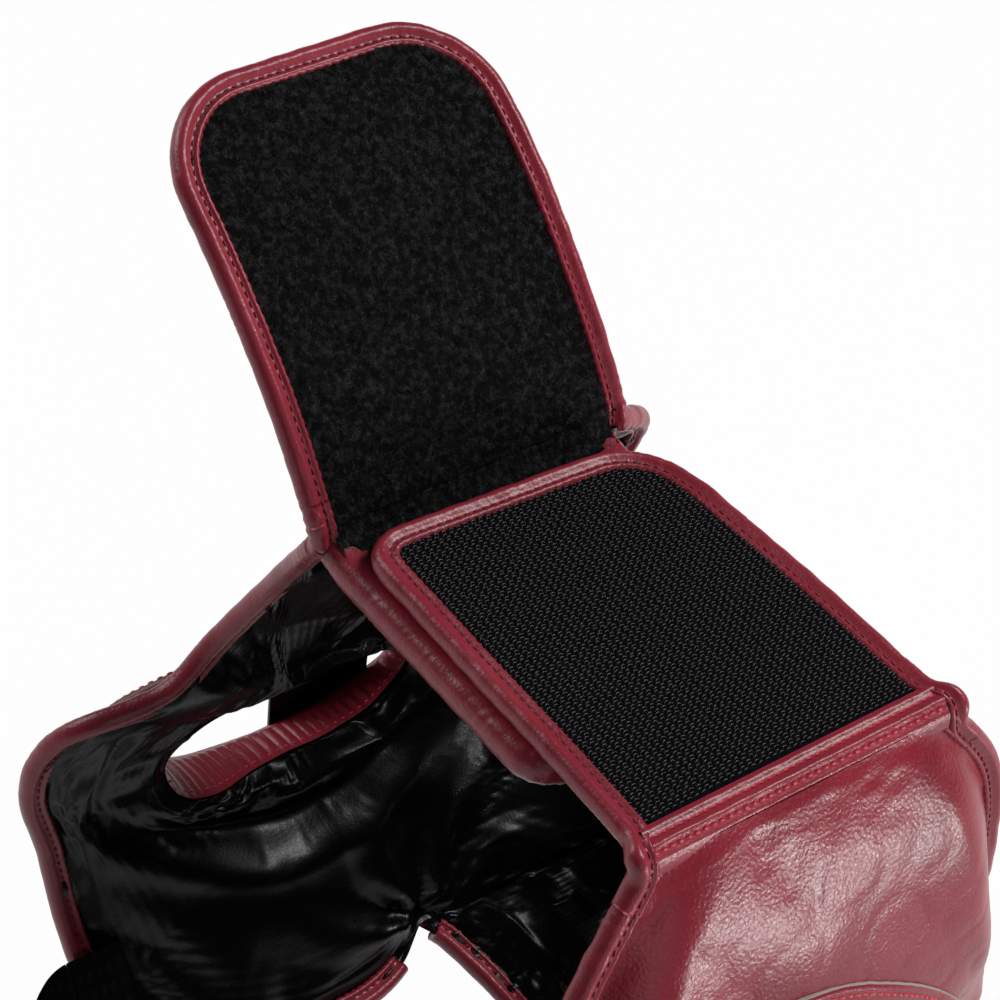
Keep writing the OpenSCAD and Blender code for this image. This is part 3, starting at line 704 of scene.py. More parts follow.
# Loop side of the closure: knitted nylon, brushed up, with its loose fibres; the grey specks on the fleece
# and the fibres are painted highlights on black pile.
FLEECE = Pile("brushed_loop_pile_black", "#040405", 0.95)
FIBRE = Pile("brushed_pile_fibres_black", "#060607", 0.8, painted_glint="#8e8e94", pile_mm=1.0)
# Hook side: woven nylon tape with cut monofilament hooks.
# The tape's light colour is a painted highlight where its black yarns cross.
TAPE = Weave("nylon_hook_tape_woven_black", "#030304", 0.75, yarn_mm=1.3, light="#08080a")
# The black hooks are coloured mid grey: a painted glint for the light that they catch.
HOOKS_PAINTED_GLINT = Finish("nylon_hooks_moulded_black", "#58585e", 0.4)
# Chin strap: woven polyester webbing.
# The webbing's light colour is a painted highlight where its black yarns cross.
WEBBING = Weave("polyester_webbing_black", "#070708", 0.7, yarn_mm=1.1, light="#17171a")
# Bonded polyester sewing threads.
THREAD_DARK = Thread("thread_dark_burgundy", "#641424", 0.6)
THREAD_RED = Thread("thread_bright_red", "#d23446", 0.5)
THREAD_BLACK = Thread("thread_black", "#1c1c1e", 0.5)
# The split's fibres where a panel is cut and left unbound.
RAW_EDGE = Finish("raw_cut_leather_edge", "#8f857c", 0.9)


# ---------------------------------------------------------------- the head's shape


@dataclass(frozen=True)
class HeadForm:
    """The padded shell's surfaces, in millimetres, with the same sizes as its solids.

    u runs round the head: 0 at the brow, 1 at the ear, 2 at the rear wing's end; y is the height above
    ear level; w is the distance out from the lining.
    """

    half_width: float = 92.0
    ear_depth: float = 104.0
    closure_depth: float = 228.0
    brow_flat: float = 70.0
    dome_start: float = 20.0
    dome_radius: float = 135.0
    neck_flare: float = 6.0
    left_end: float = 46.0
    right_end: float = 81.0
    left_bulge: float = 20.0
    right_bulge: float = 11.0
    closure_half: float = 50.0
    right_shift: float = 4.0
    left_shift: float = 2.0
    left_waist: float = 47.0
    right_waist: float = 69.0
    ear_drop: float = 103.0
    jaw_drop: float = 92.0
    brow_top: float = 118.0
    side_top: float = 104.0
    wing_top: float = 82.0
    brow_low: float = 36.0
    eye_corner: float = 20.0
    cheek_reach: float = 0.25
    brow_pad: float = 24.0
    cheek_pad: float = 32.0
    cheek_lean: float = 0.83
    side_pad: float = 22.0
    wing_pad: float = 17.0
    left_pad: float = 8.0
    ear_pad: float = 17.0
    ear_taper: float = 6.0
    edge_pad: float = 4.0
    band: float = 5.0
    pad_roll: float = 20.0
    left_slope: float = 2.8
    pinch: float = 4.5
    ear_rise: float = 30.0
    front_z: float = 18.2
    temple_u: float = 0.34
    per_u: float = 140.0
    front_per_u: float = 150.0
    ear_half_width: float = 16.0
    ear_half_height: float = 45.0
    ear_ahead: float = 7.0
    ear_level: float = -14.0
    ear_lean: float = 4.0

    @property
    def ear_z(self) -> float:
        """Height of the widest point, at the ears."""
        return self.front_z + self.ear_depth

    @property
    def closure_z(self) -> float:
        """Height of the wings' ends."""
        return self.front_z + self.closure_depth

    def ring(self, side: int, u: Array) -> Array:
        """Returns half the width and the height round the head at u."""
        wide, ear, top = self.half_width, self.ear_z, self.closure_z
        front = [[0, self.front_z], [self.brow_flat, self.front_z], [wide, ear - 46], [wide, ear]]
        if side < 0:
            rear = [[wide, ear], [wide, ear + 46],
                    [self.left_end + self.left_bulge, top - 28], [self.left_end, top]]
        else:
            rear = [[wide, ear], [wide + self.right_bulge - 3, ear + 46],
                    [self.right_end + self.right_bulge, top - 34], [self.right_end, top + 2]]
        ahead, behind = bezier(front, np.minimum(u, 1)), bezier(rear, np.maximum(u - 1, 0))
        return np.where((u <= 1)[..., None], ahead, behind)

    def head(self, side: int, u: Array, y: Array) -> Array:
        """Returns the point of the lining at u and y."""
        u, y = np.broadcast_arrays(np.asarray(u, float), np.asarray(y, float))
        q = self.ring(side, np.abs(u))
        keep = 1 - ease((u - 1) / 0.9)
        dome = np.sqrt(np.maximum(0.05, 1 - (np.maximum(0, y - self.dome_start) / self.dome_radius) ** 2))
        flare = (self.neck_flare / self.half_width * (np.maximum(0, -30 - y) / 65) ** 2
                 * np.maximum(0, 1 - ((u - 1.1) / 0.6) ** 2))
        scale = 1 - keep * (1 - dome) + flare
        pinch = self.pinch / self.half_width * bump(u - 1.27, 0.09) * ease((-25 - y) / 40) * (side < 0)
        scale = scale - pinch
        axis = self.ear_z + 4
        x, z = side * np.sign(u) * q[..., 0] * scale, axis + (q[..., 1] - axis) * scale
        return np.stack([x, y, z], axis=-1)

    def outward(self, side: int, u: Array, y: Array) -> Array:
        """Returns the way out of the head at u and y."""
        rise = self.head(side, u, y + 0.5) - self.head(side, u, y - 0.5)
        run = self.head(side, u + 0.01, y) - self.head(side, u - 0.01, y)
        return side * unit(np.cross(rise, run))

    def at(self, side: int, u: Array, y: Array, w: Array) -> Array:
        """Returns the point w out from the lining at u and y."""
        u, y, w = np.broadcast_arrays(np.asarray(u, float), np.asarray(y, float), np.asarray(w, float))
        lean = self.cheek_lean * ease((30 - y) / 55) * ease((1.02 - np.abs(u)) / 0.6)
        point = self.head(side, u, y) + w[..., None] * self.outward(side, u, y)
        point[..., 2] -= lean * np.maximum(0, w - self.edge_pad) ** 2 / self.cheek_pad
        return point

    def neck_edge(self, side: int, u: Array) -> Array:
        """Returns the height of the neck edge at u."""
        jaw, ear = -self.jaw_drop, -self.ear_drop
        if side < 0:
            rear = [[1.12, ear + 3], [1.22, ear + 13], [1.3, -self.left_waist - 20],
                    [1.45, -self.left_waist - 5], [1.7, -self.left_waist],
                    [2, -self.left_shift - self.closure_half]]
        else:
            rear = [[1.25, ear + 9], [1.5, -self.right_waist - 10], [1.72, -self.right_waist],
                    [2, self.right_shift - self.closure_half]]
        return through([[0.42, jaw], [0.65, jaw - 3], [0.85, ear + 5], [1, ear], *rear], u)

    def crown_edge(self, side: int, u: Array) -> Array:
        """Returns the height of the crown edge at u."""
        shift = -self.left_shift if side < 0 else self.right_shift
        return through([[0, self.brow_top], [0.5, self.brow_top - 4], [1, self.side_top],
                        [1.5, self.wing_top], [1.8, self.wing_top - 10],
                        [2, self.closure_half + shift]], np.abs(u))

    def brow_edge(self, u: Array) -> Array:
        """Returns the height of the brow pad's lower edge at u."""
        low = self.brow_low
        return through([[0, low], [0.15, low - 2], [0.28, low - 9],
                        [self.temple_u, self.eye_corner]], np.abs(u))

    def face_u(self, y: Array) -> Array:
        """Returns where the cheek pad ends at height y."""
        reach = self.cheek_reach
        edge = through([[-self.jaw_drop, 0.42], [-62, reach + 0.07], [-35, reach + 0.01], [-10, reach],
                        [8, reach + 0.03], [self.eye_corner, self.temple_u]], y)
        return np.where(np.asarray(y) >= self.eye_corner, self.temple_u, edge)

    def pad(self, side: int, u: Array, y: Array) -> Array:
        """Returns the padding's thickness at u and y."""
        u = np.abs(u)
        rear = [[1.5, self.side_pad - 2], [1.78, self.wing_pad - 3]]
        if side < 0:
            rear = [[1.1, self.side_pad - 8], [1.25, self.left_pad + 0.5], [1.5, self.left_pad - 0.5],
                    [1.78, self.left_pad - 1]]
        full = through([[0, self.brow_pad], [0.5, self.brow_pad - 2], [0.9, self.side_pad], *rear,
                        [2, self.edge_pad + 2]], u)
        full = full + (self.cheek_pad - full) * ease((22 - y) / 25) * ease((0.62 - u) / 0.22)
        over_brow = (u < self.temple_u) & (y > self.brow_edge(u) - 1)
        gap = np.where(over_brow, y - self.brow_edge(u),
                       np.where(y < self.eye_corner, (u - self.face_u(y)) * self.front_per_u,
                                np.hypot((u - self.temple_u) * self.front_per_u, y - self.eye_corner)))
        gap = np.minimum(gap, self.crown_edge(side, u) - y)
        gap = np.where(u < self.temple_u, gap, np.minimum(gap, y - self.neck_edge(side, u)))
        dish = ease(self.ear_far(u, y) / self.ear_rise)
        rim = self.ear_pad - self.ear_taper * (y - self.ear_level) / self.ear_half_height
        full = np.minimum(full, rim) + np.maximum(0, full - rim) * dish
        roll = self.pad_roll * (1 + (self.left_slope - 1) * ease((u - 0.95) / 0.25) * (side < 0))
        swell = np.sin(np.radians(90 * np.clip((gap - self.band) / roll, 0, 1)))
        return self.edge_pad + (full - self.edge_pad) * np.where(gap <= self.band, 0, swell)

    def ear_far(self, u: Array, y: Array) -> Array:
        """Returns the distance from the ear opening's rim, straight away from its middle."""
        x, h = (u - 1) * self.per_u + self.ear_ahead, y - self.ear_level
        k = (np.abs(x / self.ear_half_width) ** 2.2 + np.abs(h / self.ear_half_height) ** 2.2) ** (1 / 2.2)
        return np.hypot(x, h) * (1 - 1 / np.maximum(k, 1))

    def ear_middle(self) -> tuple[float, float]:
        """Returns u and y of the middle of the ear opening."""
        return 1 - self.ear_ahead / self.per_u, self.ear_level

    def ear_rim(self, angle: Array, cut: float = 0.0) -> Array:
        """Returns u and y of the ear opening's rim at an angle, shrunk by cut."""
        p, q = np.cos(angle), np.sin(angle)
        wide, tall = self.ear_half_width - cut, self.ear_half_height - cut
        k = ((np.abs(p) / wide) ** 2.2 + (np.abs(q) / tall) ** 2.2) ** (1 / 2.2)
        x, y = p / k, q / k
        mid, lean = self.ear_middle(), math.tan(math.radians(self.ear_lean))
        return np.stack([mid[0] + (x + y * lean) / self.per_u, mid[1] + y], axis=-1)

    def seam_dip(self, u: Array, y: Array) -> Array:
        """Returns how far the seam between brow and side pads pulls the surface in, from 0 to 1."""
        return bump((np.abs(u) - self.temple_u) * self.front_per_u, 5.5) * ease((y - self.eye_corner) / 14)


HEAD = HeadForm()


@dataclass(frozen=True)
class GuardSizes:
    """The round leather guard over each ear."""

    half_width: float = 80.0
    half_height: float = 84.0
    left_share: float = 0.5
    level: float = -10.0
    margin: float = 7.0
    left_margin: float = 19.0
    skin: float = 1.6
    gap: float = 0.6


@dataclass(frozen=True)
class EarSizes:
    """The ear opening's wall and strap."""

    gap: float = 0.9
    strap_level: float = 21.0
    strap_width: float = 33.0


GUARD = GuardSizes()
EAR = EarSizes()
EDGE_HALF = 2.15


# ---------------------------------------------------------------- folded bindings


@dataclass(frozen=True)
class FoldLook:
    """A leather strip folded over an edge: a round roll, a sewn groove and a narrow lip on each face."""

    reach: float = 2.9
    lip: float = 4.7
    roll: float = 1.25
    roll_width: float = 1.5
    ridge: float = 0.75
    ridge_at: float = 3.6
    groove_at: float = 2.35
    pitch: float = 2.9
    pucker: float = 0.22
    crease: float = 0.16
    cross: float = 0.0
    spacing: float = 0.9
    stitch: float = 2.1

    def section(self, half: float) -> tuple[Array, Array, Array]:
        """The cross-section.

        Args:
            half: Half the thickness of the edge that it covers.

        Returns:
            For each point: its distance out from the edge, its height off the middle, and how far it
            is along the curve from the front lip to the back one.
        """
        over = np.linspace(-self.lip, 0.2, 15)
        round_end = np.radians(np.linspace(90, -90, 15))[1:-1]
        face = half + self.roll * np.exp(-(((over - 0.2) / self.roll_width) ** 2))
        face += self.ridge * bump(over + self.ridge_at, 0.7)
        face[0] = half - 0.4
        out = np.concatenate([over, 0.2 + (self.reach - 0.2) * np.cos(round_end), over[::-1]])
        high = np.concatenate([face, (half + self.roll) * np.sin(round_end), -face[::-1]])
        return out, high, np.linspace(0, 1, len(out))


def fold_over(name: str, line: Array, away: Array, normal: Array, half: float, finish: Finish,
              body: Optional[Body], replaced: Sequence[str] = (), look: FoldLook = FoldLook(), seed: int = 1,
              gathers: Optional[Callable[[Array], Array]] = None,
              thread: Optional[Finish] = None, shut: bool = False) -> list[Piece]:
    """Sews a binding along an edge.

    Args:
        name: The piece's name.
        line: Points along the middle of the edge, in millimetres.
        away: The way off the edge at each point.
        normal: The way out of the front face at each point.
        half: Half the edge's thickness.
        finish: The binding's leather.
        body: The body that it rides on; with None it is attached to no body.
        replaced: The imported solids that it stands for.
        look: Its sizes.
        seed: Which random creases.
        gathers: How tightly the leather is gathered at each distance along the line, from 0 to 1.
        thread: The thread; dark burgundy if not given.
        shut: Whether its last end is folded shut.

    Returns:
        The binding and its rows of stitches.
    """
    line, away, normal = evenly(line, look.spacing, away, normal)
    away, normal = unit(away), unit(normal)
    s = along(line)
    out, high, turn = look.section(half)
    pull = gathers(s) if gathers else np.zeros_like(s)
    places = [s[:, None] + 0.5 * out[None], 9 * turn[None] + 0 * s[:, None]]
    fine = creases([places[0], 0.16 * places[1]], 5.5, seed)
    fine = fine * np.clip(ripple(places, 26, seed + 1) + 0.35, 0, 1)
    pleats = pull[:, None] * np.abs(np.sin(s[:, None] * math.pi / 3.4 + 0.7 * np.sin(s[:, None] / 5)))
    seam = bump(out + look.groove_at, 0.8)[None] * np.abs(np.cos(s[:, None] * math.pi / look.pitch)) ** 3
    rungs = np.abs(np.sin(places[0] * math.pi / 2.3 + 0.9 * ripple(places, 7, seed + 3)))
    rungs = rungs * np.clip(0.6 + ripple(places, 19, seed + 4), 0, 1)
    sink = (look.crease * fine + look.pucker * seam + look.cross * rungs + 0.75 * pleats
            + 0.12 * ripple(places, 11, seed + 2))
    swell = 1 - sink / (half + look.roll)
    scallop = 0.22 * bump(out + look.lip, 0.8)[None] * np.cos(2 * math.pi * s[:, None] / look.pitch)
    a = np.where(out > 0, out * swell, out[None] + scallop)
    n = high[None] * swell
    if shut:
        near = np.sqrt(np.clip(1 - (1 - np.clip((s[-1] - s) / 3.0, 0, 1)) ** 2, 0.0004, 1))[:, None]
        a, n = a * near, n * near
    rings = line[:, None] + a[..., None] * away[:, None] + n[..., None] * normal[:, None]
    roll = tube_mesh(name, rings, finish)
    if replaced:
        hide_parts(*replaced)
    made = [roll]
    for face, sign in (("front", 1), ("back", -1)):
        row = line - look.groove_at * away + sign * (half + 0.16) * normal
        stitches = stitch_line(f"{name}_stitches_{face}", row, sign * normal, look.pitch,
                               thread or THREAD_DARK, look.stitch, 0.6)
        made.append(stitches)
    if body:
        for piece in made:
            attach(piece, body.value)
    return made


# ---------------------------------------------------------------- padded panels


def eye_folds(u: Array, y: Array) -> Array:
    """Folds that fan out from the eye opening's outer corner, where the padding is bent hardest."""
    across = (np.abs(u) - HEAD.temple_u) * HEAD.front_per_u
    up = y - HEAD.eye_corner
    far = np.hypot(across, up)
    turn = np.arctan2(up, across)
    wave = np.sin(7.5 * turn + 1.1 * np.sin(far / 17) + 0.6)
    sharp = np.sign(wave) * np.abs(wave) ** 0.8
    return sharp * ease(far / 16) * np.exp(-((far / 52) ** 2))


@dataclass
class SidePad:
    """One side of the shell, from the cheek round the ear to the rear wing's end."""

    side: Side
    around: int = 384
    out: int = 84
    lining_swell: float = 4.6
    cheek_swell: float = 3.5
    fold_depth: float = 2.6
    cover_seam: float = 4.5
    lining_seam: float = 3.0
    lip: float = 3.4
    valley: float = 3.2
    ridge: float = 2.4
    turned_in: float = 3.6
    hem: float = 3.0

    def __post_init__(self) -> None:
        """Names the side."""
        self.s: int = self.side.value
        self.tag: str = self.side.name.lower()

    def outline(self) -> Array:
        """Returns evenly spaced u and y round the pad's bound edges."""
        low, high = -HEAD.jaw_drop, float(HEAD.crown_edge(self.s, np.array(HEAD.temple_u)))
        y = np.linspace(low, high, 160)
        front = np.stack([HEAD.face_u(y), y], axis=1)
        u = np.linspace(HEAD.temple_u, 2, 200)
        crown = np.stack([u, HEAD.crown_edge(self.s, u)], axis=1)
        u = np.linspace(2, 0.42, 240)
        neck = np.stack([u, HEAD.neck_edge(self.s, u)], axis=1)
        t = np.linspace(0, 1, 60)[:, None]
        back = crown[-1] * (1 - t) + neck[0] * t
        runs = [front, crown, back, neck]
        lengths = [along(HEAD.at(self.s, r[:, 0], r[:, 1], 0))[-1] for r in runs]
        counts = np.round(np.array(lengths) / sum(lengths) * self.around).astype(int)
        counts[0] += self.around - counts.sum()
        pieces = []
        for run, count in zip(runs, counts):
            place = along(HEAD.at(self.s, run[:, 0], run[:, 1], 0))
            new = np.linspace(0, place[-1], count + 1)[:-1]
            pieces.append(np.stack([np.interp(new, place, run[:, k]) for k in (0, 1)], axis=1))
        return np.concatenate(pieces)

    def net(self, rim: Array, shares: Array) -> Array:
        """Places between the ear opening and an outline.

        Args:
            rim: The outline's u and y.
            shares: How far out each ring of places is, from 0 to 1.

        Returns:
            u and y, by place round the ear and by ring.
        """
        mid = HEAD.ear_middle()
        angle = np.arctan2(rim[:, 1] - mid[1], (rim[:, 0] - mid[0]) * HEAD.per_u)
        hole = HEAD.ear_rim(angle)
        return hole[:, None] + (rim - hole)[:, None] * shares[None, :, None]

    def shares(self, count: int) -> Array:
        """Returns ring places that crowd a little towards both ends."""
        x = np.linspace(0, 1, count)
        return 0.45 * x + 0.55 * ease(x)

    def cover_height(self, u: Array, y: Array) -> Array:
        """Returns how far the outer leather is from the lining."""
        t = HEAD.pad(self.s, u, y)
        x = (u - 1) * HEAD.per_u
        full = np.clip((t - HEAD.edge_pad) / 14, 0, 1)
        relief = 0.7 * ripple([x, y], 44, 11 + self.s) - 0.25 * creases([x, 0.6 * y], 27, 12 + self.s)
        pucker = np.abs(np.sin(np.hypot(x, y) / 3.1)) * bump((t - HEAD.edge_pad) / 14 - 0.12, 0.14)
        return t - self.cover_seam * HEAD.seam_dip(u, y) + full * relief - 0.5 * pucker

    def lining_height(self, u: Array, y: Array) -> Array:
        """Returns how far the lining is from its plain place; less than 0 is towards the head."""
        x = (u - 1) * HEAD.per_u
        far = HEAD.ear_far(u, y)
        full = np.clip((HEAD.pad(self.s, u, y) - HEAD.edge_pad) / 9, 0, 1)
        ahead = ease((HEAD.ear_middle()[0] - u) * HEAD.per_u / 12)
        beside = ahead * ease((58 - np.abs(y + 16)) / 24)
        lip = self.lip * bump(far - 7, 6.0) * (0.25 + 0.75 * ahead)
        valley = self.valley * bump(far - 17, 4.0) * beside
        cheek = bump((u - 0.56) * HEAD.per_u, 26) * ease((70 - np.abs(y + 12)) / 40)
        ridge = self.ridge * bump(far - 28, 7) * beside
        turned_in = self.turned_in * bump(far, 2.6)
        soft = 0.6 * ripple([x, y], 46, 21 + self.s) + 0.25 * ripple([x, y], 24, 22 + self.s)
        back = bump((u - 1.38) * HEAD.per_u, 30) * ease((-8 - y) / 30)
        crumple = 0.4 * creases([x, 0.7 * y], 17, 23 + self.s) * back
        edge = y - HEAD.neck_edge(self.s, u)
        jaw = ease((1.2 - u) / 0.1) * ease((u - 0.8) / 0.12)
        hem = self.hem * bump(edge - 21 - 3 * np.sin(x / 9), 2.6) * jaw
        wrinkles = 0.35 * creases([0.5 * x, y], 9, 24 + self.s)
        wrinkles = wrinkles * ease((edge - 4) / 5) * ease((26 - edge) / 8) * jaw
        swell = self.lining_swell + self.cheek_swell * cheek
        swell = swell * ease((far - 12) / 22) * full * ease((1.8 - u) / 0.3)
        folds = self.fold_depth * eye_folds(u, y) * full
        relief = soft + crumple + valley - lip - ridge
        seam = self.lining_seam * HEAD.seam_dip(u, y)
        return full * relief + hem + wrinkles - swell + turned_in + folds + seam

    def surface(self, name: str, height: Callable[[Array, Array], Array], outwards: int, finish: Finish,
                grow: float, cap: float) -> Piece:
        """Makes one face of the pad.

        Args:
            name: The piece's name.
            height: How far out the face is at each u and y.
            outwards: 1 for the outer face, -1 for the lining.
            finish: Its leather.
            grow: How much fuller than its place it is cut, as a share.
            cap: The furthest that the padding may push it, in millimetres.

        Returns:
            The piece.
        """
        rim = self.outline()
        rough = self.net(rim[::4], self.shares(25))
        coarse = HEAD.at(self.s, rough[..., 0], rough[..., 1], height(rough[..., 0], rough[..., 1]))
        aim = outwards * HEAD.outward(self.s, rough[..., 0], rough[..., 1])
        pinned = np.zeros(coarse.shape[:2])
        pinned[:, [0, -1]] = 1
        pinned[:, -2] = 0.6
        moved = simulate(coarse, pinned, grow, 2.0, cap, closed=True, aim=aim)
        net = self.net(rim, self.shares(self.out))
        u, y = net[..., 0], net[..., 1]
        grid = HEAD.at(self.s, u, y, height(u, y))
        grid += finer(moved, grid.shape[0], grid.shape[1], closed=True)
        piece = sheet_mesh(name, grid, outwards * HEAD.outward(self.s, u, y), finish, closed=True)
        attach(piece, Body.SHELL.value)
        return piece

    def guard_outline(self, inset: float = 0.0, count: int = 300) -> Array:
        """Returns u and y round the ear guard, inset by so many millimetres."""
        turn = np.linspace(0, 2 * math.pi, count, endpoint=False)
        p, q = np.cos(turn), np.sin(turn)
        power = np.where(p < 0, 2.4, 1.6)
        wide, tall = GUARD.half_width - inset, GUARD.half_height - inset
        k = (np.abs(p) ** power + np.abs(q) ** power) ** (1 / power)
        reach = np.where((p > 0) & (self.s < 0), GUARD.left_share, 1.0)
        u = 1 + wide * p / k * reach / HEAD.per_u
        y = GUARD.level + tall * q / k
        margin = GUARD.left_margin if self.s < 0 else GUARD.margin
        low = HEAD.neck_edge(self.s, u) + HEAD.band + margin + inset
        return np.stack([u, low + np.logaddexp(0, (y - low) / 2.5) * 2.5], axis=1)

    def guard(self) -> None:
        """Sews the round leather guard over the ear, with its cut edge left raw."""
        rim = self.guard_outline()
        net = self.net(rim, self.shares(64))
        u, y = net[..., 0], net[..., 1]
        lift = self.cover_height(u, y) + GUARD.gap
        x = (u - 1) * HEAD.per_u
        top = lift + GUARD.skin + 0.25 * ripple([x, y], 24, 31 + self.s)
        aim = HEAD.outward(self.s, u, y)
        edge = np.concatenate([np.zeros(net.shape[1] - 2), [0.15, 0.6]])
        grid = HEAD.at(self.s, u, y, top - edge)
        face = sheet_mesh(f"ear_guard_{self.tag}", grid, aim, BURGUNDY, closed=True)
        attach(face, Body.SHELL.value)
        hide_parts(f"ear_guard_{self.tag}")
        cut_u, cut_y = u[:, -1:], y[:, -1:]
        steps = np.linspace(0, 1, 5)[None]
        fray = 0.16 * ripple([x[:, -1:] * 5, y[:, -1:] * 5], 9, 33)
        height = (top[:, -1:] - 0.6) * (1 - steps) + (lift[:, -1:] - 0.5) * steps
        wall = HEAD.at(self.s, cut_u + 0 * steps, cut_y + 0 * steps, height)
        mid = HEAD.at(self.s, *(np.array(v)[None] for v in HEAD.ear_middle()), 0)
        wall += (0.45 * np.sin(math.pi * steps) + fray)[..., None] * unit(wall - mid[None])
        raw = sheet_mesh(f"ear_guard_edge_{self.tag}", wall, wall - mid[None], RAW_EDGE, closed=True)
        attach(raw, Body.SHELL.value)
        whole = self.guard_outline(inset=2.6, count=420)
        whole = np.concatenate([whole, whole[:1]])
        part = np.linspace([1.10, -78.0], [1.04, -77.0], 12)
        for name, line, height, sign in (
            ("guard_stitches", whole, lambda a, b: self.cover_height(a, b) + GUARD.gap + GUARD.skin + 0.1, 1),
            ("guard_stitches_inside", part, lambda a, b: self.lining_height(a, b) - 0.05, -1),
        ):
            points = HEAD.at(self.s, line[:, 0], line[:, 1], height(line[:, 0], line[:, 1]))
            ups = sign * HEAD.outward(self.s, line[:, 0], line[:, 1])
            row = stitch_line(f"{name}_{self.tag}", points, ups, 3.1, THREAD_RED,
                              2.2 if sign > 0 else 0.7, 0.7 if sign > 0 else 0.45)
            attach(row, Body.SHELL.value)

    def ear_wall(self) -> None:
        """Lines the ear opening with gathered leather that rolls over onto the lining."""
        turn = np.linspace(0, 2 * math.pi, 340, endpoint=False)
        stations = np.linspace(0, 1, 26)
        rim = HEAD.ear_rim(turn)
        mid = HEAD.ear_middle()
        line = np.concatenate([rim, rim[:1]])
        s = along(HEAD.at(self.s, line[:, 0], line[:, 1], 0))[:-1]
        tips = np.abs(np.sin(turn)) ** 6
        gather = (0.55 + 1.0 * tips)[:, None] * np.abs(np.sin(s[:, None] * math.pi / 3.6
                                                               + 0.8 * np.sin(s[:, None] / 7)))
        deep = self.cover_height(rim[:, 0], rim[:, 1]) + GUARD.gap + GUARD.skin
        bottom = self.lining_height(rim[:, 0], rim[:, 1])
        belly = np.sin(math.pi * stations)[None]
        w = bottom[:, None] + 0.4 + (deep - bottom - 0.4)[:, None] * stations[None]
        cut = EAR.gap + (0.3 + gather) * belly**0.6 - 1.0 * ease((stations - 0.8) / 0.2)[None]
        away_u, away_y = (rim - np.array(mid)).T
        size = np.hypot(away_u * HEAD.per_u, away_y)
        share = 1 - cut / size[:, None]
        u = mid[0] + away_u[:, None] * share
        y = mid[1] + away_y[:, None] * share
        grid = HEAD.at(self.s, u, y, w)
        centre = HEAD.at(self.s, np.array([mid[0]]), np.array([mid[1]]), 0)[0]
        wall = sheet_mesh(f"ear_wall_{self.tag}", grid, centre - grid, BURGUNDY_SMALL, closed=True)
        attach(wall, Body.SHELL.value)
        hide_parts(f"ear_wall_{self.tag}")
        places = np.concatenate([grid[:, 3], grid[:1, 3]])
        row = stitch_line(f"ear_wall_stitches_{self.tag}", places, unit(centre - places), 3.0, THREAD_RED,
                          1.7, 0.55)
        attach(row, Body.SHELL.value)

    def ear_strap(self) -> None:
        """Bridges the ear opening with a lined leather strap."""
        reach = (HEAD.ear_half_width + 9) / HEAD.per_u
        mid = HEAD.ear_middle()[0]
        a = np.linspace(-1, 1, 56)[:, None]
        b = np.linspace(-1, 1, 40)[None]
        u = mid + a * reach + 0 * b
        y = EAR.strap_level + HEAD.ear_level + b * EAR.strap_width / 2 + 0 * a
        over = HEAD.pad(self.s, mid + a * reach, y) + GUARD.skin + 2 * GUARD.gap
        sag = -1.0 * (1 - a**2)
        rounding = np.clip((1 - np.maximum(np.abs(a), np.abs(b))) * 9, 0, 1) ** 0.5
        for name, low, high, finish in (("", 0.9, 2.0, BURGUNDY_SMALL), ("_backing", 0.0, 0.9, LINING)):
            top = over + sag + low + (high - low) * (0.25 + 0.75 * rounding if not name else 1.0)
            under = over + sag + low
            up = HEAD.at(self.s, u, y, top)
            down = HEAD.at(self.s, u, y, under)
            strap = slab_mesh(f"ear_strap{name}_{self.tag}", up, down, finish)
            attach(strap, Body.SHELL.value)
            if not name:
                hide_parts(f"ear_strap_{self.tag}")
        for end in (-1, 1):
            line_b = np.linspace(-0.86, 0.86, 30)
            su = mid + end * 0.88 * reach + 0 * line_b
            sy = EAR.strap_level + HEAD.ear_level + line_b * EAR.strap_width / 2
            lift = HEAD.pad(self.s, su, sy) + GUARD.skin + 2 * GUARD.gap + 2.0 - 0.2
            row = stitch_line(f"ear_strap_stitches_{'front' if end < 0 else 'rear'}_{self.tag}",
                              HEAD.at(self.s, su, sy, lift), HEAD.outward(self.s, su, sy), 2.9, THREAD_RED,
                              2.0, 0.6)
            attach(row, Body.SHELL.value)

    def edge(self, u: Array, y: Array, away: int) -> tuple[Array, Array, Array]:
        """The frame of a bound edge.

        Args:
            u: Places round the head.
            y: Heights.
            away: Which way is off the pad, as a sign.

        Returns:
            Points on the middle of the edge, the way off it and the way out of it.
        """
        line = HEAD.at(self.s, u, y, HEAD.edge_pad / 2)
        normal = HEAD.outward(self.s, u, y)
        run = unit(np.gradient(line, axis=0))
        return line, away * self.s * unit(np.cross(normal, run)), normal

    def bindings(self) -> None:
        """Binds the neck, crown and cheek edges."""
        u = np.linspace(0.43, 1.985, 420)
        line, away, normal = self.edge(u, HEAD.neck_edge(self.s, u), 1)
        bend = np.linalg.norm(np.gradient(unit(np.gradient(line, axis=0)), axis=0), axis=1) / np.maximum(
            np.linalg.norm(np.gradient(line, axis=0), axis=1), 1e-6)
        length = along(line)
        tight = soften(np.clip((bend - 0.012) / 0.05, 0, 1)[:, None], 60)[:, 0]
        ends = bump(length[-1] - length, 16)
        self.bind("neck", line, away, normal, 41,
                  gathers=lambda s: np.interp(s, length, np.clip(0.25 * tight + 0.9 * ends, 0, 1)))
        u = np.linspace(HEAD.temple_u + 0.004, 1.985, 340)
        self.bind("crown", *self.edge(u, HEAD.crown_edge(self.s, u), -1), 43, shut=self.s < 0)
        y = np.linspace(-HEAD.jaw_drop + 1, HEAD.eye_corner - 12, 120)
        self.bind("cheek", *self.edge(HEAD.face_u(y), y, -1), 45)

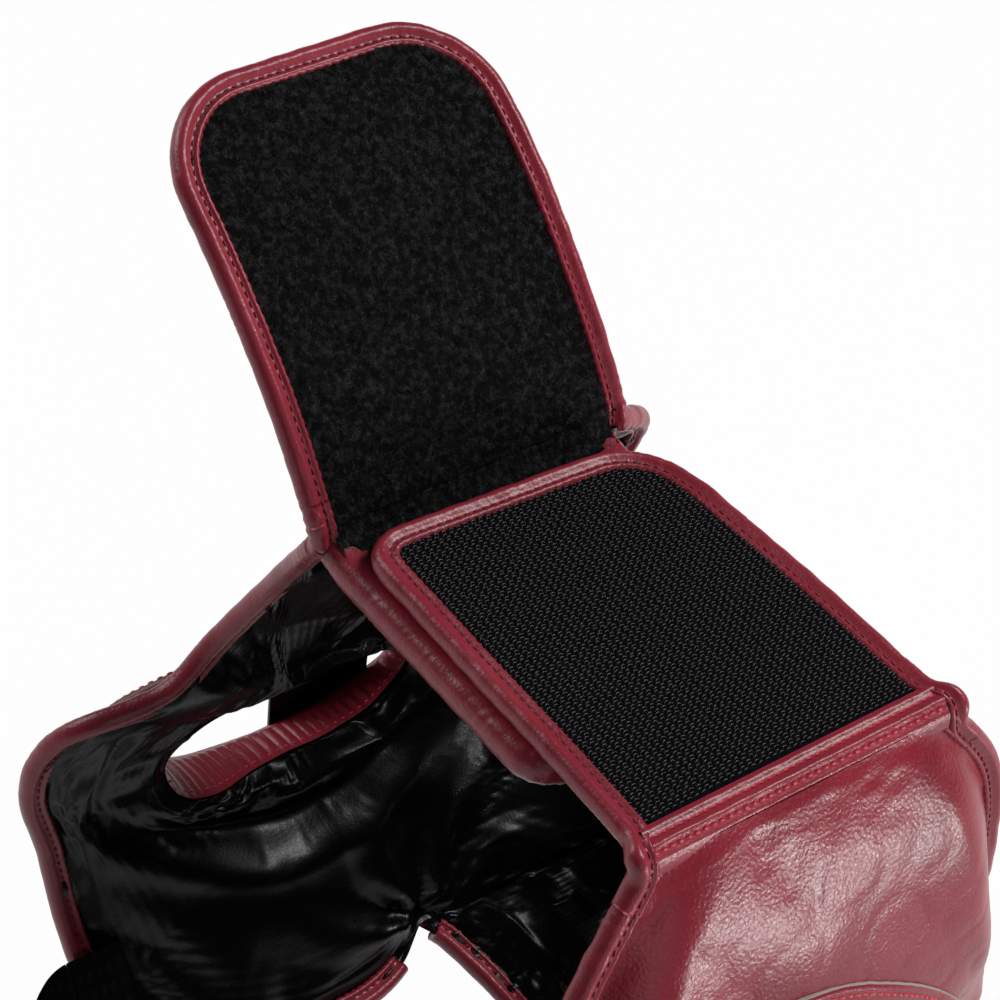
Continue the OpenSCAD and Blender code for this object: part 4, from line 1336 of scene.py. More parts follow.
    def bind(self, edge: str, line: Array, away: Array, normal: Array, seed: int, **more: object) -> None:
        """Sews the binding along one edge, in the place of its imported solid."""
        name = f"{edge}_binding_{self.tag}"
        fold_over(name, line, away, normal, EDGE_HALF, BURGUNDY_SMALL, Body.SHELL, [name], seed=seed + self.s,
                  **more)

    def build(self) -> None:
        """Makes every piece of the side."""
        cover = self.surface(f"side_cover_{self.tag}", self.cover_height, 1, BURGUNDY, 0.002, 1.1)
        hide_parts(*(f"{a}_{b}_{self.tag}" for a in ("side", "wing") for b in ("cover", "foam")))
        lining = self.surface(f"side_lining_{self.tag}", self.lining_height, -1, LINING, 0.03, 4.0)
        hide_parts(f"side_lining_{self.tag}", f"wing_lining_{self.tag}")
        self.guard()
        self.ear_wall()
        self.ear_strap()
        self.bindings()
        LOG.info("side pad %s: cover, lining, guard, ear wall, strap and three bindings", self.tag)


@dataclass
class BrowPad:
    """The pad across the forehead, with folds where it bends round to the temples."""

    across: int = 220
    up: int = 90
    cover_seam: float = 4.5
    lining_seam: float = 3.5
    puff: float = 5.5
    fold_depth: float = 2.8

    def net(self, across: int, up: int) -> tuple[Array, Array]:
        """Returns u and y over the pad."""
        u = np.linspace(-1, 1, across)[:, None] * (HEAD.temple_u - 0.002) + np.zeros((1, up))
        x = np.linspace(0, 1, up)
        share = (0.5 * x + 0.5 * ease(x))[None]
        low, high = HEAD.brow_edge(u), HEAD.crown_edge(1, u)
        return u, low + (high - low) * share

    def cover_height(self, u: Array, y: Array) -> Array:
        """Returns how far the outer leather is from the lining."""
        t = HEAD.pad(1, u, y)
        full = np.clip((t - HEAD.edge_pad) / 14, 0, 1)
        relief = full * 0.5 * ripple([u * HEAD.front_per_u, y], 34, 61)
        return t - self.cover_seam * HEAD.seam_dip(u, y) + relief - 0.4 * full

    def lining_height(self, u: Array, y: Array) -> Array:
        """Returns how far the lining is from its plain place; less than 0 is towards the head."""
        full = np.clip((HEAD.pad(1, u, y) - HEAD.edge_pad) / 15, 0, 1)
        places = [u * HEAD.front_per_u, y]
        soft = 1.0 * ripple(places, 40, 62) + 0.5 * ripple(places, 19, 63)
        puff = self.puff * full + 2.5 * full * bump(y - 70, 34)
        folds = self.fold_depth * full * eye_folds(u, y)
        return -puff + full * soft + folds + self.lining_seam * HEAD.seam_dip(u, y)

    def build(self) -> None:
        """Makes the cover, the lining and their bindings."""
        for name, height, outwards, finish, grow, cap, replaced in (
            ("brow_cover", self.cover_height, 1, BURGUNDY, 0.004, 1.2, ["brow_cover", "brow_foam"]),
            ("brow_lining", self.lining_height, -1, LINING, 0.03, 3.5, ["brow_lining"]),
        ):
            u, y = self.net(56, 30)
            pinned = np.zeros(u.shape)
            pinned[[0, -1]] = pinned[:, [0, -1]] = 1
            coarse = HEAD.at(1, u, y, height(u, y))
            moved = simulate(coarse, pinned, grow, 2.0, cap, aim=outwards * HEAD.outward(1, u, y))
            u, y = self.net(self.across, self.up)
            grid = HEAD.at(1, u, y, height(u, y)) + finer(moved, *u.shape)
            piece = sheet_mesh(name, grid, outwards * HEAD.outward(1, u, y), finish)
            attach(piece, Body.SHELL.value)
            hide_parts(*replaced)
        right = SidePad(Side.RIGHT)
        u = np.linspace(-HEAD.temple_u, HEAD.temple_u, 220)
        fold_over("crown_binding_front", *right.edge(u, HEAD.crown_edge(1, u), -1), EDGE_HALF, BURGUNDY_SMALL,
                  Body.SHELL, ["crown_binding_front"], seed=65)
        u = np.linspace(-HEAD.temple_u + 0.03, HEAD.temple_u - 0.03, 200)
        fold_over("brow_binding", *right.edge(u, HEAD.brow_edge(u), 1), EDGE_HALF, BURGUNDY_SMALL,
                  Body.SHELL, ["brow_binding"], seed=66)
        LOG.info("brow pad: cover, lining and two bindings")


# ---------------------------------------------------------------- the rear closure


@dataclass(frozen=True)
class FlapShape:
    """A flap's outline, in millimetres: s runs from its seam to its tip, v across it.

    Pairs of half widths and middles are at the seam and at the tip; the corners are at the low and the
    high side of v.
    """

    length: float
    half: tuple[float, float]
    mid: tuple[float, float]
    corners: tuple[float, float]

    def straight(self, s: Array) -> tuple[Array, Array]:
        """Returns the flap's middle and half its width at s, corners aside."""
        share = s / self.length
        return (self.mid[0] + (self.mid[1] - self.mid[0]) * share,
                self.half[0] + (self.half[1] - self.half[0]) * share)

    def sides(self, s: Array) -> tuple[Array, Array]:
        """Returns the v of both sides at s, with the rounded corners cut off."""
        middle, wide = self.straight(s)
        cuts = []
        for r in self.corners:
            late = np.clip(s - (self.length - r), 0, r)
            cuts.append(r - np.sqrt(r**2 - late**2))
        return middle - wide + cuts[0], middle + wide - cuts[1]

    def rim(self, start: float = 0.0) -> tuple[Array, Array]:
        """The edge, from one side of the seam round the tip to the other.

        Args:
            start: How far from the seam it begins.

        Returns:
            Places along and across the flap, and the way off its edge at each.
        """
        places, away = [], []
        for r, sign in zip(self.corners, (-1, 1)):
            turn = np.linspace(math.pi / 2, 0, 21)
            flat = np.linspace(start, self.length - r, 60)[:-1]
            middle, wide = self.straight(flat)
            v = middle + sign * wide
            tip = self.mid[1] + sign * (self.half[1] - r * (1 - np.sin(turn)))
            corner = np.stack([self.length - r * (1 - np.cos(turn)), tip], 1)
            run = np.concatenate([np.stack([flat, v], 1), corner])
            off = np.concatenate([np.stack([0 * flat, sign + 0 * flat], 1),
                                  np.stack([np.cos(turn), sign * np.sin(turn)], 1)])
            places.append(run if sign < 0 else run[::-1])
            away.append(off if sign < 0 else off[::-1])
        return np.concatenate(places), np.concatenate(away)

    def net(self, rows: int, cols: int, inset: float = 0.6) -> Array:
        """Places over the flap.

        Args:
            rows: Places along it.
            cols: Places across it.
            inset: How far it stops short of the edge.

        Returns:
            Places along and across it.
        """
        s = (self.length - inset) * np.sin(np.linspace(0, 1, rows) * math.pi / 2) ** 0.8
        low, high = self.sides(s)
        k = np.linspace(0, 1, cols)[None]
        v = (low + inset)[:, None] * (1 - k) + (high - inset)[:, None] * k
        return np.stack([s[:, None] + 0 * v, v], axis=-1)


def tufts(name: str, places: Array, ups: Array, length: float, thick: float, seed: int,
          finish: Finish) -> Piece:
    """Brushes up short curled fibres from a surface.

    Args:
        name: The piece's name.
        places: Where each fibre starts, in millimetres.
        ups: The way out of the surface there.
        length: The mean fibre length, in millimetres.
        thick: The fibre's thickness at its root.
        seed: Which random set.
        finish: The fibres' finish.

    Returns:
        All the fibres as one object.
    """
    rng = np.random.default_rng(seed)
    n = len(places)
    lean = unit(ups + 0.9 * rng.normal(size=(n, 3)))
    curl = unit(lean + 1.1 * rng.normal(size=(n, 3)))
    size = length * rng.uniform(0.6, 1.35, (n, 1))
    side = unit(np.cross(lean, rng.normal(size=(n, 3))))
    other = np.cross(lean, side)
    turns = np.arange(3) * 2 * math.pi / 3
    c, d = np.cos(turns)[:, None, None], np.sin(turns)[:, None, None]
    ring = thick / 2 * (c * side[None] + d * other[None])
    low = places[None] + ring - 0.2 * ups[None]
    mid = places[None] + (0.55 * size * lean)[None] + 0.8 * ring
    tip = (places + 0.55 * size * lean + 0.45 * size * curl)[None]
    verts = np.concatenate([low, mid, tip]).transpose(1, 0, 2)
    quads = repeated([[k, (k + 1) % 3, 3 + (k + 1) % 3, 3 + k] for k in range(3)], n, 7)
    ends = repeated([[3 + k, 3 + (k + 1) % 3, 6] for k in range(3)], n, 7)
    return make_mesh(name, verts, quads + ends, finish)


@dataclass
class HookFlap:
    """The woven hook panel, sewn to the right wing with a welted seam."""

    length: float = 113.5
    tip_half: float = 46.5
    tip_shift: float = -2.5
    corners: tuple[float, float] = (9.0, 19.0)
    skew: float = 5.0
    lift: float = 3.7
    tape: float = 1.5
    hook_pitch: float = 1.18

    def __post_init__(self) -> None:
        """Works out the flap's place."""
        self.x0: float = HEAD.right_end - 0.3
        self.z0: float = HEAD.closure_z + self.lift
        self.shape = FlapShape(self.length, (HEAD.closure_half, self.tip_half),
                               (HEAD.right_shift, HEAD.right_shift + self.tip_shift), self.corners)

    def at(self, place: Array, w: Array) -> Array:
        """Returns the point w above the flap's middle at a place along and across it."""
        s, v = place[..., 0], place[..., 1]
        wave = 0.35 * ripple([s, v], 70, 71)
        s = s + self.skew * s / self.length * np.clip(0.5 - v / (2 * self.tip_half), 0, 1)
        return np.stack([self.x0 - s, v, self.z0 + w + wave], axis=-1)

    def welt(self) -> None:
        """Makes the seam: two stuffed ridges with a row of stitches beside each."""
        y = np.linspace(-HEAD.closure_half + 0.5, HEAD.closure_half - 0.5, 130) + HEAD.right_shift
        t = np.linspace(0, 1, 44)
        path = np.array([[-4.6, 6.0], [-1.7, 6.3], [1.5, 6.1], [4.2, 4.7], [5.6, 2.6], [5.8, -0.6]])
        x = np.interp(t, np.linspace(0, 1, len(path)), path[:, 0])
        z = np.interp(t, np.linspace(0, 1, len(path)), path[:, 1])
        line = soften(np.stack([x, z], 1), 30)
        slope = unit(np.gradient(line, axis=0))
        normal = np.stack([-slope[:, 1], slope[:, 0]], 1)
        normal *= np.sign(normal[:, 1:2])
        puff = 0.8 * bump(t - 0.12, 0.06) + 1.0 * bump(t - 0.40, 0.07) + 0.15 * bump(t - 0.66, 0.06)
        wobble = 0.14 * ripple([y[:, None] * 1.0, 30 * t[None]], 9, 72)
        relief = puff[None] * (1 + wobble) + 0.06 * wobble
        point = line[None] + relief[..., None] * normal[None]
        grid = np.stack([HEAD.right_end + point[..., 0], y[:, None] + 0 * t[None],
                         HEAD.closure_z + point[..., 1]], axis=-1)
        aim = np.broadcast_to(np.stack([normal[:, 0], 0 * t, normal[:, 1]], 1)[None], grid.shape)
        piece = sheet_mesh("hook_welt", grid, aim, BURGUNDY_SMALL)
        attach(piece, Body.SHELL.value)
        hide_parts("hook_welt")
        for k, share in enumerate((0.26, 0.54)):
            col = int(round(share * (len(t) - 1)))
            row = stitch_line(f"hook_welt_stitches_{k + 1}", grid[:, col] + 0.14 * aim[:, col], aim[:, col],
                              2.7, THREAD_RED, 2.0, 0.7)
            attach(row, Body.SHELL.value)

    def hooks(self) -> None:
        """Stands the woven-in hooks on the tape, in staggered rows."""
        pitch = self.hook_pitch
        rows = int(self.length / (pitch * 0.87))
        cols = int(2 * HEAD.closure_half / pitch)
        i, j = np.meshgrid(np.arange(rows), np.arange(cols), indexing="ij")
        rng = np.random.default_rng(73)
        s = 2.5 + i * pitch * 0.87 + rng.normal(0, 0.07, i.shape)
        v = HEAD.right_shift - HEAD.closure_half + (j + 0.5 * (i % 2)) * pitch + rng.normal(0, 0.07, i.shape)
        low, high = self.shape.sides(s)
        keep = (v > low + 3.6) & (v < high - 3.6) & (s > 5.2) & (s < self.length - 3.6)
        s, v, lean = s[keep], v[keep], np.where(j[keep] % 2, 1.0, -1.0)
        place = np.stack([s, v], axis=-1)
        root = self.at(place, np.full(s.shape, HEAD.edge_pad / 2 - 0.1))
        arch = np.array([[0, 0], [0.10, 0.55], [0.42, 0.82], [0.62, 0.62]])
        thick = np.array([0.30, 0.26, 0.26, 0.2])
        turns = np.arange(4) * math.pi / 2
        n = len(s)
        along_x = (arch[:, 0][None, :, None] * lean[:, None, None]
                   + thick[None, :, None] / 2 * np.cos(turns)[None, None])
        across = thick[None, :, None] / 2 * np.sin(turns)[None, None] + 0 * along_x
        up = arch[:, 1][None, :, None] + 0 * along_x
        verts = root[:, None, None] + np.stack([across, along_x, up], axis=-1)
        points = len(arch) * len(turns)
        faces = repeated(grid_faces(len(arch), len(turns), close_cols=True), n, points)
        tips = repeated([[points - 1 - q for q in range(len(turns))]], n, points)
        piece = make_mesh("hook_tape_hooks", verts, faces + tips, HOOKS_PAINTED_GLINT)
        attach(piece, Body.SHELL.value)

    def joined(self, line: Array, out: Array, up: Array) -> tuple[Array, Array, Array]:
        """Runs the flap's edge on round both ends of the seam, down the wing's neck and crown edges."""
        wing, u = SidePad(Side.RIGHT), np.linspace(1.9, 1.955, 10)
        ends = []
        for y, sign in ((HEAD.neck_edge(1, u), 1), (HEAD.crown_edge(1, u), -1)):
            corner = HEAD.right_end + np.array([3.4, -0.4])
            high = HEAD.closure_z + np.array([3.2, 4.5])
            point, off, normal = wing.edge(u, y, sign)
            lean = unit(np.array([[0.8, 0.0, 0.6], [0.1, 0.0, 1.0]]))
            ends.append([np.concatenate([point, np.stack([corner, np.full(2, y[-1]), high], 1)]),
                         np.concatenate([off, np.repeat([[0.0, -sign, 0.0]], 2, 0)]),
                         np.concatenate([normal, lean])])
        whole = [np.concatenate([a, b, c[::-1]]) for a, b, c in zip(ends[0], (line, out, up), ends[1])]
        line, out, up = evenly(whole[0], 0.9, whole[1], whole[2])
        return soften(line, 9), unit(soften(out, 20)), unit(soften(up, 20))

    def build(self) -> None:
        """Makes the tape, its hooks, the backing, the binding and the seam."""
        net = self.shape.net(rows=120, cols=100)
        ribs = 0.10 * np.sin(net[..., 1] * 2 * math.pi / self.hook_pitch)
        tape = slab_mesh("hook_tape", self.at(net, HEAD.edge_pad / 2 - 0.1 + ribs),
                         self.at(net, HEAD.edge_pad / 2 - self.tape), TAPE)
        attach(tape, Body.SHELL.value)
        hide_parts("hook_tape")
        wave = 0.5 * ripple([net[..., 0], net[..., 1]], 30, 74)
        backing = slab_mesh("hook_backing", self.at(net, HEAD.edge_pad / 2 - self.tape - 0.2),
                            self.at(net, -HEAD.edge_pad / 2 - 0.4 + wave), LINING)
        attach(backing, Body.SHELL.value)
        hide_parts("hook_backing")
        self.hooks()
        place, away = self.shape.rim(start=4.0)
        line = self.at(place, np.zeros(len(place)))
        out = np.stack([-away[:, 0], away[:, 1], 0 * away[:, 0]], 1)
        up = np.broadcast_to([0.0, 0.0, 1.0], line.shape)
        line, out, up = self.joined(line, out, up)
        length = along(line)
        near_tip, far_tip = (length[np.argmax(line[:, 1] * sign - 0.9 * line[:, 0])] for sign in (-1, 1))
        fold_over("hook_binding", line, out, up, EDGE_HALF + 0.15, BURGUNDY_SMALL, Body.SHELL,
                  ["hook_binding"], seed=75,
                  gathers=lambda s: 0.3 * bump(s - near_tip, 11) + 0.2 * bump(s - far_tip, 13))
        self.welt()
        LOG.info("hook flap: tape, hooks, backing, binding and welted seam")


@dataclass
class LoopFlap:
    """The fleece-faced flap, creased back from the left wing."""

    length: float = 121.0
    half: float = 51.0
    corner: float = 28.0
    lift: float = 128.0
    curl: float = 27.0
    start_x: float = 2.6
    start_z: float = 4.7
    tape: float = 1.5

    def __post_init__(self) -> None:
        """Works out the flap's place."""
        mid = -HEAD.left_shift
        self.start = np.array([-HEAD.left_end - self.start_x, HEAD.closure_z + self.start_z])
        self.shape = FlapShape(self.length, (self.half, self.half), (mid, mid), (self.corner, self.corner))

    def turn(self, s: Array) -> Array:
        """Returns the flap's direction at s, in radians from level."""
        return np.radians(self.lift + self.curl * np.asarray(s, float) / self.length)

    def at(self, place: Array, w: Array) -> Array:
        """Returns the point w off the flap's middle, towards the fleece, at a place along and across it."""
        s, y = place[..., 0], place[..., 1]
        a, first = self.turn(s), math.radians(self.lift)
        bow = self.length / math.radians(self.curl)
        wave = 0.5 * ripple([s, y], 75, 81) * ease(s / 30)
        x = self.start[0] + bow * (np.sin(a) - math.sin(first)) + (w + wave) * np.sin(a)
        z = self.start[1] + bow * (math.cos(first) - np.cos(a)) - (w + wave) * np.cos(a)
        return np.stack([x, y, z], axis=-1)

    def face(self, s: Array) -> Array:
        """Returns the way that the fleece faces at s."""
        a = self.turn(s)
        return np.stack([np.sin(a), 0 * a, -np.cos(a)], axis=-1)

    def bend(self, piece: Piece) -> None:
        """Bakes the piece's placement into its mesh."""
        ends = self.at(np.array([[44.0, 0.0], [77.0, 0.0]]), np.zeros(2)) * MM
        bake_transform(piece)

    def build(self) -> None:
        """Makes the fleece, the leather back, the binding and the crease."""
        front = HEAD.edge_pad / 2
        net = self.shape.net(rows=150, cols=120)
        pile = 0.35 * ripple([net[..., 0], net[..., 1]], 7, 82)
        fleece = slab_mesh("loop_fleece", self.at(net, front - 0.2 + pile), self.at(net, front - self.tape),
                           FLEECE)
        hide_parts("loop_fleece", "loop_tip_fleece")
        rng = np.random.default_rng(83)
        s, v = rng.uniform(1, self.length - 4, 30000), rng.uniform(-self.half + 3.8, self.half - 3.8, 30000)
        low, high = self.shape.sides(s)
        v = v - HEAD.left_shift
        keep = (v > low + 4) & (v < high - 4)
        place = np.stack([s[keep], v[keep]], 1)
        roots = self.at(place, np.full(len(place), front - 0.1))
        fibres = tufts("loop_fleece_fibres", roots, self.face(place[:, 0]), 1.5, 0.13, 84, FIBRE)
        places = [net[..., 0], net[..., 1]]
        wave = 0.5 * ripple(places, 34, 85) + 0.5 * creases(places, 40, 86)
        back = slab_mesh("loop_backing", self.at(net, front - self.tape - 0.2),
                         self.at(net, -front - 0.3 + wave), BURGUNDY)
        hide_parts("loop_backing", "loop_tip_backing")
        for piece in (fleece, fibres, back):
            self.bend(piece)
        place, away = self.shape.rim(start=1.5)
        line = self.at(place, np.zeros(len(place)))
        a = self.turn(place[:, 0])
        out = np.stack([away[:, 0] * np.cos(a), away[:, 1], away[:, 0] * np.sin(a)], 1)
        length = along(line)[-1]
        bound = fold_over("loop_binding", line, out, self.face(place[:, 0]), EDGE_HALF, BURGUNDY_SMALL, None,
                          seed=87, gathers=lambda s: 0.7 * (bump(s, 7) + bump(length - s, 7)))
        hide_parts("loop_binding", "loop_tip_binding")
        for piece in bound:
            self.bend(piece)
        for name, start, near in (("neck", 0, 1), ("crown", len(line) - 5, -1)):
            part = slice(start, start + 5)
            self.corner_cap(name, *(v[part][::near] for v in (line, out, self.face(place[:, 0]))))
        self.crease()
        LOG.info("loop flap: fleece, fibres, back, binding and crease")

    def follow_crease(self, piece: Piece) -> None:
        """Bakes the piece's placement into its mesh."""
        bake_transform(piece)

    def corner_cap(self, edge: str, line: Array, out: Array, normal: Array) -> None:
        """Closes the corner where the wing's binding runs up into the flap's.

        Args:
            edge: Which of the wing's edges.
            line: The first points of the flap's edge, from the crease on.
            out: The way off the flap's edge.
            normal: The way out of the fleece.
        """
        wing, u = SidePad(Side.LEFT), np.linspace(1.94, 1.985, 8)
        y, sign = (HEAD.neck_edge(-1, u), 1) if edge == "neck" else (HEAD.crown_edge(-1, u), -1)
        point, off, inward = wing.edge(u, y, sign)
        parts = [(point, line), (off, out), (-inward, normal)]
        line, out, normal = evenly(np.concatenate(parts[0]), 0.9, *(np.concatenate(p) for p in parts[1:]))
        made = fold_over(f"loop_corner_{edge}", soften(line, 6), unit(soften(out, 12)),
                         unit(soften(normal, 12)), EDGE_HALF + 0.2, BURGUNDY_SMALL, None, seed=78,
                         gathers=lambda s: 0.6 + 0 * s)
        for piece in made:
            self.follow_crease(piece)

    def crease(self) -> None:
        """Makes the strip of fleece that runs on from the tongue through the crease to the flap."""
        y = np.linspace(-self.half + 4, self.half - 4, 110) - HEAD.left_shift
        t = np.linspace(0, 1, 26)
        foot = np.array([-HEAD.left_end + 5.0, HEAD.closure_z - 0.35])
        end = self.at(np.array([[5.0, 0.0]]), np.array([HEAD.edge_pad / 2 - 0.1]))[0][[0, 2]]
        way = np.array([math.cos(self.turn(0)), math.sin(self.turn(0))])
        path = bezier([foot, foot - [5.5, -0.2], end - 5.5 * way, end], t)
        grid = np.stack([path[None, :, 0] + 0 * y[:, None], y[:, None] + 0 * t[None],
                         path[None, :, 1] + 0.3 * ripple([y[:, None], 20 * t[None]], 8, 88)], axis=-1)
        aim = np.broadcast_to([0.6, 0.0, 0.8], grid.shape)
        strip = sheet_mesh("crease_fleece", grid, aim, FLEECE)
        rng = np.random.default_rng(89)
        count = 3800
        i, j = rng.integers(0, grid.shape[0], count), rng.integers(0, grid.shape[1], count)
        roots = grid[i, j] + rng.normal(0, 0.25, (count, 3))
        fibres = tufts("crease_fleece_fibres", roots, aim[i, j], 1.4, 0.13, 90, FIBRE)
        for piece in (strip, fibres):
            self.follow_crease(piece)


@dataclass
class Tongue:
    """The padded tongue under the closure, sewn inside the left wing."""

    length: float = 89.0
    half: float = 45.5
    corner: float = 10.0
    top: float = -0.4
    tape: float = 1.5
    foam: float = 5.5
    skin: float = 1.1

    def build(self) -> None:
        """Makes the fleece, the lining and the gathered edge."""
        x0 = -HEAD.left_end + 0.5
        top = HEAD.closure_z + self.top
        core_top = top - self.tape - 0.3
        core = self.foam + 0.3 + self.skin
        mid = -HEAD.left_shift
        shape = FlapShape(self.length, (self.half, self.half), (mid, mid), (self.corner, self.corner))
        net = shape.net(rows=100, cols=90, inset=2.0)
        s, v = net[..., 0], net[..., 1]
        edge = np.minimum(self.half - np.abs(v - mid), self.length - s)
        crown = ease((edge - 1) / 12)

        def point(z: Array) -> Array:
            """Returns the tongue's points at height z."""
            return np.stack([x0 + s, v, z + 0 * s], axis=-1)

        fleece = slab_mesh("tongue_fleece", point(top - 0.5 + 0.3 * crown + 0.3 * ripple([s, v], 7, 91)),
                           point(core_top - 0.4), FLEECE)
        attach(fleece, Body.TONGUE.value)
        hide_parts("tongue_fleece", "tongue_foam")
        rng = np.random.default_rng(92)
        i, j = rng.integers(0, net.shape[0], 17000), rng.integers(4, net.shape[1] - 4, 17000)
        keep = edge[i, j] > 3.2
        roots = point(top - 0.4 + 0 * s)[i[keep], j[keep]]
        roots = roots + rng.normal(0, 0.3, roots.shape) * [1, 1, 0.2]
        fibres = tufts("tongue_fleece_fibres", roots, np.broadcast_to([0.0, 0.0, 1.0], roots.shape), 1.4,
                       0.13, 93, FIBRE)
        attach(fibres, Body.TONGUE.value)
        under = core_top - core - 0.3 - 0.9 * crown + 0.6 * ripple([s, v], 24, 94) * crown
        down = np.broadcast_to([0.0, 0.0, -1.0], net.shape[:2] + (3,))
        lining = sheet_mesh("tongue_lining", point(under), down, LINING)
        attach(lining, Body.TONGUE.value)
        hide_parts("tongue_lining")
        place, away = shape.rim(start=-4.0)
        lift = 2.0 * bump(place[:, 0] + 4, 6)
        line = np.stack([x0 + place[:, 0], place[:, 1], core_top - core / 2 + lift], 1)
        out = np.stack([away[:, 0], away[:, 1], 0 * away[:, 0]], 1)
        up = np.broadcast_to([0.0, 0.0, 1.0], line.shape)
        length = along(line)
        corner = length[69]
        look = FoldLook(reach=4.4, lip=9.5, roll=1.8, roll_width=6.5, ridge=0.0, groove_at=8.9, crease=0.35,
                        pucker=0.1, cross=0.2, stitch=1.2)
        fold_over("tongue_edge", line, out, up, core / 2 + 0.2, BURGUNDY_SMALL, Body.TONGUE, ["tongue_edge"],
                  look, 95,
                  gathers=lambda q: 0.5 * bump(q - corner, 8) + 0.5 * bump(length[-1] - q - corner, 8)
                  + 0.5 * bump(q, 6) + 0.5 * bump(length[-1] - q, 6))
        LOG.info("tongue: fleece, fibres, lining and edge")


# ---------------------------------------------------------------- crown and chin


@dataclass
class Crown:
    """The pad over the crown and the three straps that hold it."""

    half: float = 34.0
    under: float = 113.0
    thick: float = 10.0
    drop: float = 12.0
    strap_width: float = 44.0
    strap_arch: float = 5.0

    def straps(self) -> None:
        """Makes the three straps, each leather outside and lining inside."""
        z = HEAD.ear_z - self.drop
        t = np.linspace(0, 1, 70)[:, None]
        k = np.linspace(-1, 1, 44)[None]
        level = self.under + self.thick / 2
        wide = self.strap_width / 2
        for tag, side, u, end in (
            ("front", 1, k[0] * wide / 148, (k[0] * wide, level, z - self.half + 3)),
            ("left", -1, 0.92 + k[0] * wide / HEAD.per_u, (-self.half + 3, level, z + k[0] * wide)),
            ("right", 1, 0.92 + k[0] * wide / HEAD.per_u, (self.half - 3, level, z + k[0] * wide)),
        ):
            end = np.stack(np.broadcast_arrays(*end), axis=1)
            y = HEAD.crown_edge(side, u)
            middle = HEAD.at(side, u, y, HEAD.edge_pad / 2)
            rise = unit(middle - HEAD.at(side, u, y - 2, HEAD.edge_pad / 2))
            out = HEAD.outward(side, u, y)
            root = middle + 1.0 * rise

            def point(w: Array) -> Array:
                """Returns the strap's points w off its middle."""
                a = root[None] + w[..., None] * out[None]
                b = end[None] + w[..., None] * np.array([0.0, 1.0, 0.0])
                bow = np.array([0.0, self.strap_arch, 0.0]) * np.sin(math.pi * t)[..., None]
                return a * (1 - t[..., None]) + b * t[..., None] + bow

            plump = np.clip((1 - np.abs(k)) * 5, 0, 1) ** 0.5 + 0 * t
            dip = 1 - 0.55 * bump((1 - np.abs(k)) * wide - 4.2, 1.1)
            wave = 0.3 * ripple([t * 60, k * wide], 20, 101)
            top = point((0.4 + 2.6 * plump) * dip + wave)
            low = point(-0.4 - 2.4 * plump + 0 * wave)
            core = point(0 * plump)
            for name, face, finish in ((f"crown_strap_{tag}", top, BURGUNDY),
                                       (f"crown_strap_lining_{tag}", low, LINING)):
                piece = slab_mesh(name, face, core, finish)
                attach(piece, Body.SHELL.value)
                if finish is BURGUNDY:
                    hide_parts(name)
            for edge, col in (("a", 4), ("b", -5)):
                ups = unit(top[:, col] - core[:, col])
                row = stitch_line(f"crown_strap_stitches_{tag}_{edge}", top[:, col] + 0.1 * ups, ups, 3.0,
                                  THREAD_DARK, 2.1, 0.6)
                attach(row, Body.SHELL.value)

    def build(self) -> None:
        """Makes the pad, its piped rim and the straps."""
        z = HEAD.ear_z - self.drop
        t = np.linspace(0, 2 * math.pi, 220, endpoint=False)
        n = 5.0
        k = (np.abs(np.cos(t)) ** n + np.abs(np.sin(t)) ** n) ** (1 / n)
        rim = np.stack([np.cos(t) / k, np.sin(t) / k], 1) * self.half
        r = np.linspace(0, 1, 40)
        flat = rim[:, None] * r[None, :, None]
        x, v = flat[..., 0], flat[..., 1]
        near = (1 - r)[None] * self.half + 0 * x
        tuft = ease(near / 12)
        mid = self.under + self.thick / 2

        def face(name: str, sign: int, finish: Finish, replaced: Sequence[str]) -> None:
            """Makes one face of the pad."""
            high = sign * (1.2 + (self.thick / 2 - 1.0) * tuft + 0.5 * tuft * ripple([x, v], 22, 103))
            grid = np.stack([x, mid + high, z + v], axis=-1)
            aim = np.broadcast_to([0.0, float(sign), 0.0], grid.shape)
            pinned = np.zeros(grid[::4, ::3].shape[:2])
            pinned[:, -1] = 1
            moved = simulate(grid[::4, ::3], pinned, 0.02, 2.0, 1.5, closed=True, aim=aim[::4, ::3])
            grid = grid + finer(moved, *grid.shape[:2], closed=True)
            piece = sheet_mesh(name, grid, aim, finish, closed=True)
            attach(piece, Body.SHELL.value)
            if replaced:
                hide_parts(*replaced)

        face("crown_pad", 1, BURGUNDY, ["crown_pad"])
        face("crown_pad_lining", -1, LINING, [])
        line = np.concatenate([rim, rim[:1]])
        ring = np.stack([line[:, 0], np.full(len(line), mid), z + line[:, 1]], 1)
        away = unit(ring - [0.0, mid, z])
        fold_over("crown_pad_binding", ring, away, np.broadcast_to([0.0, 1.0, 0.0], ring.shape), 1.6,
                  BURGUNDY_SMALL, Body.SHELL, seed=104)
        self.straps()
        LOG.info("crown: pad, lining, binding and three straps")


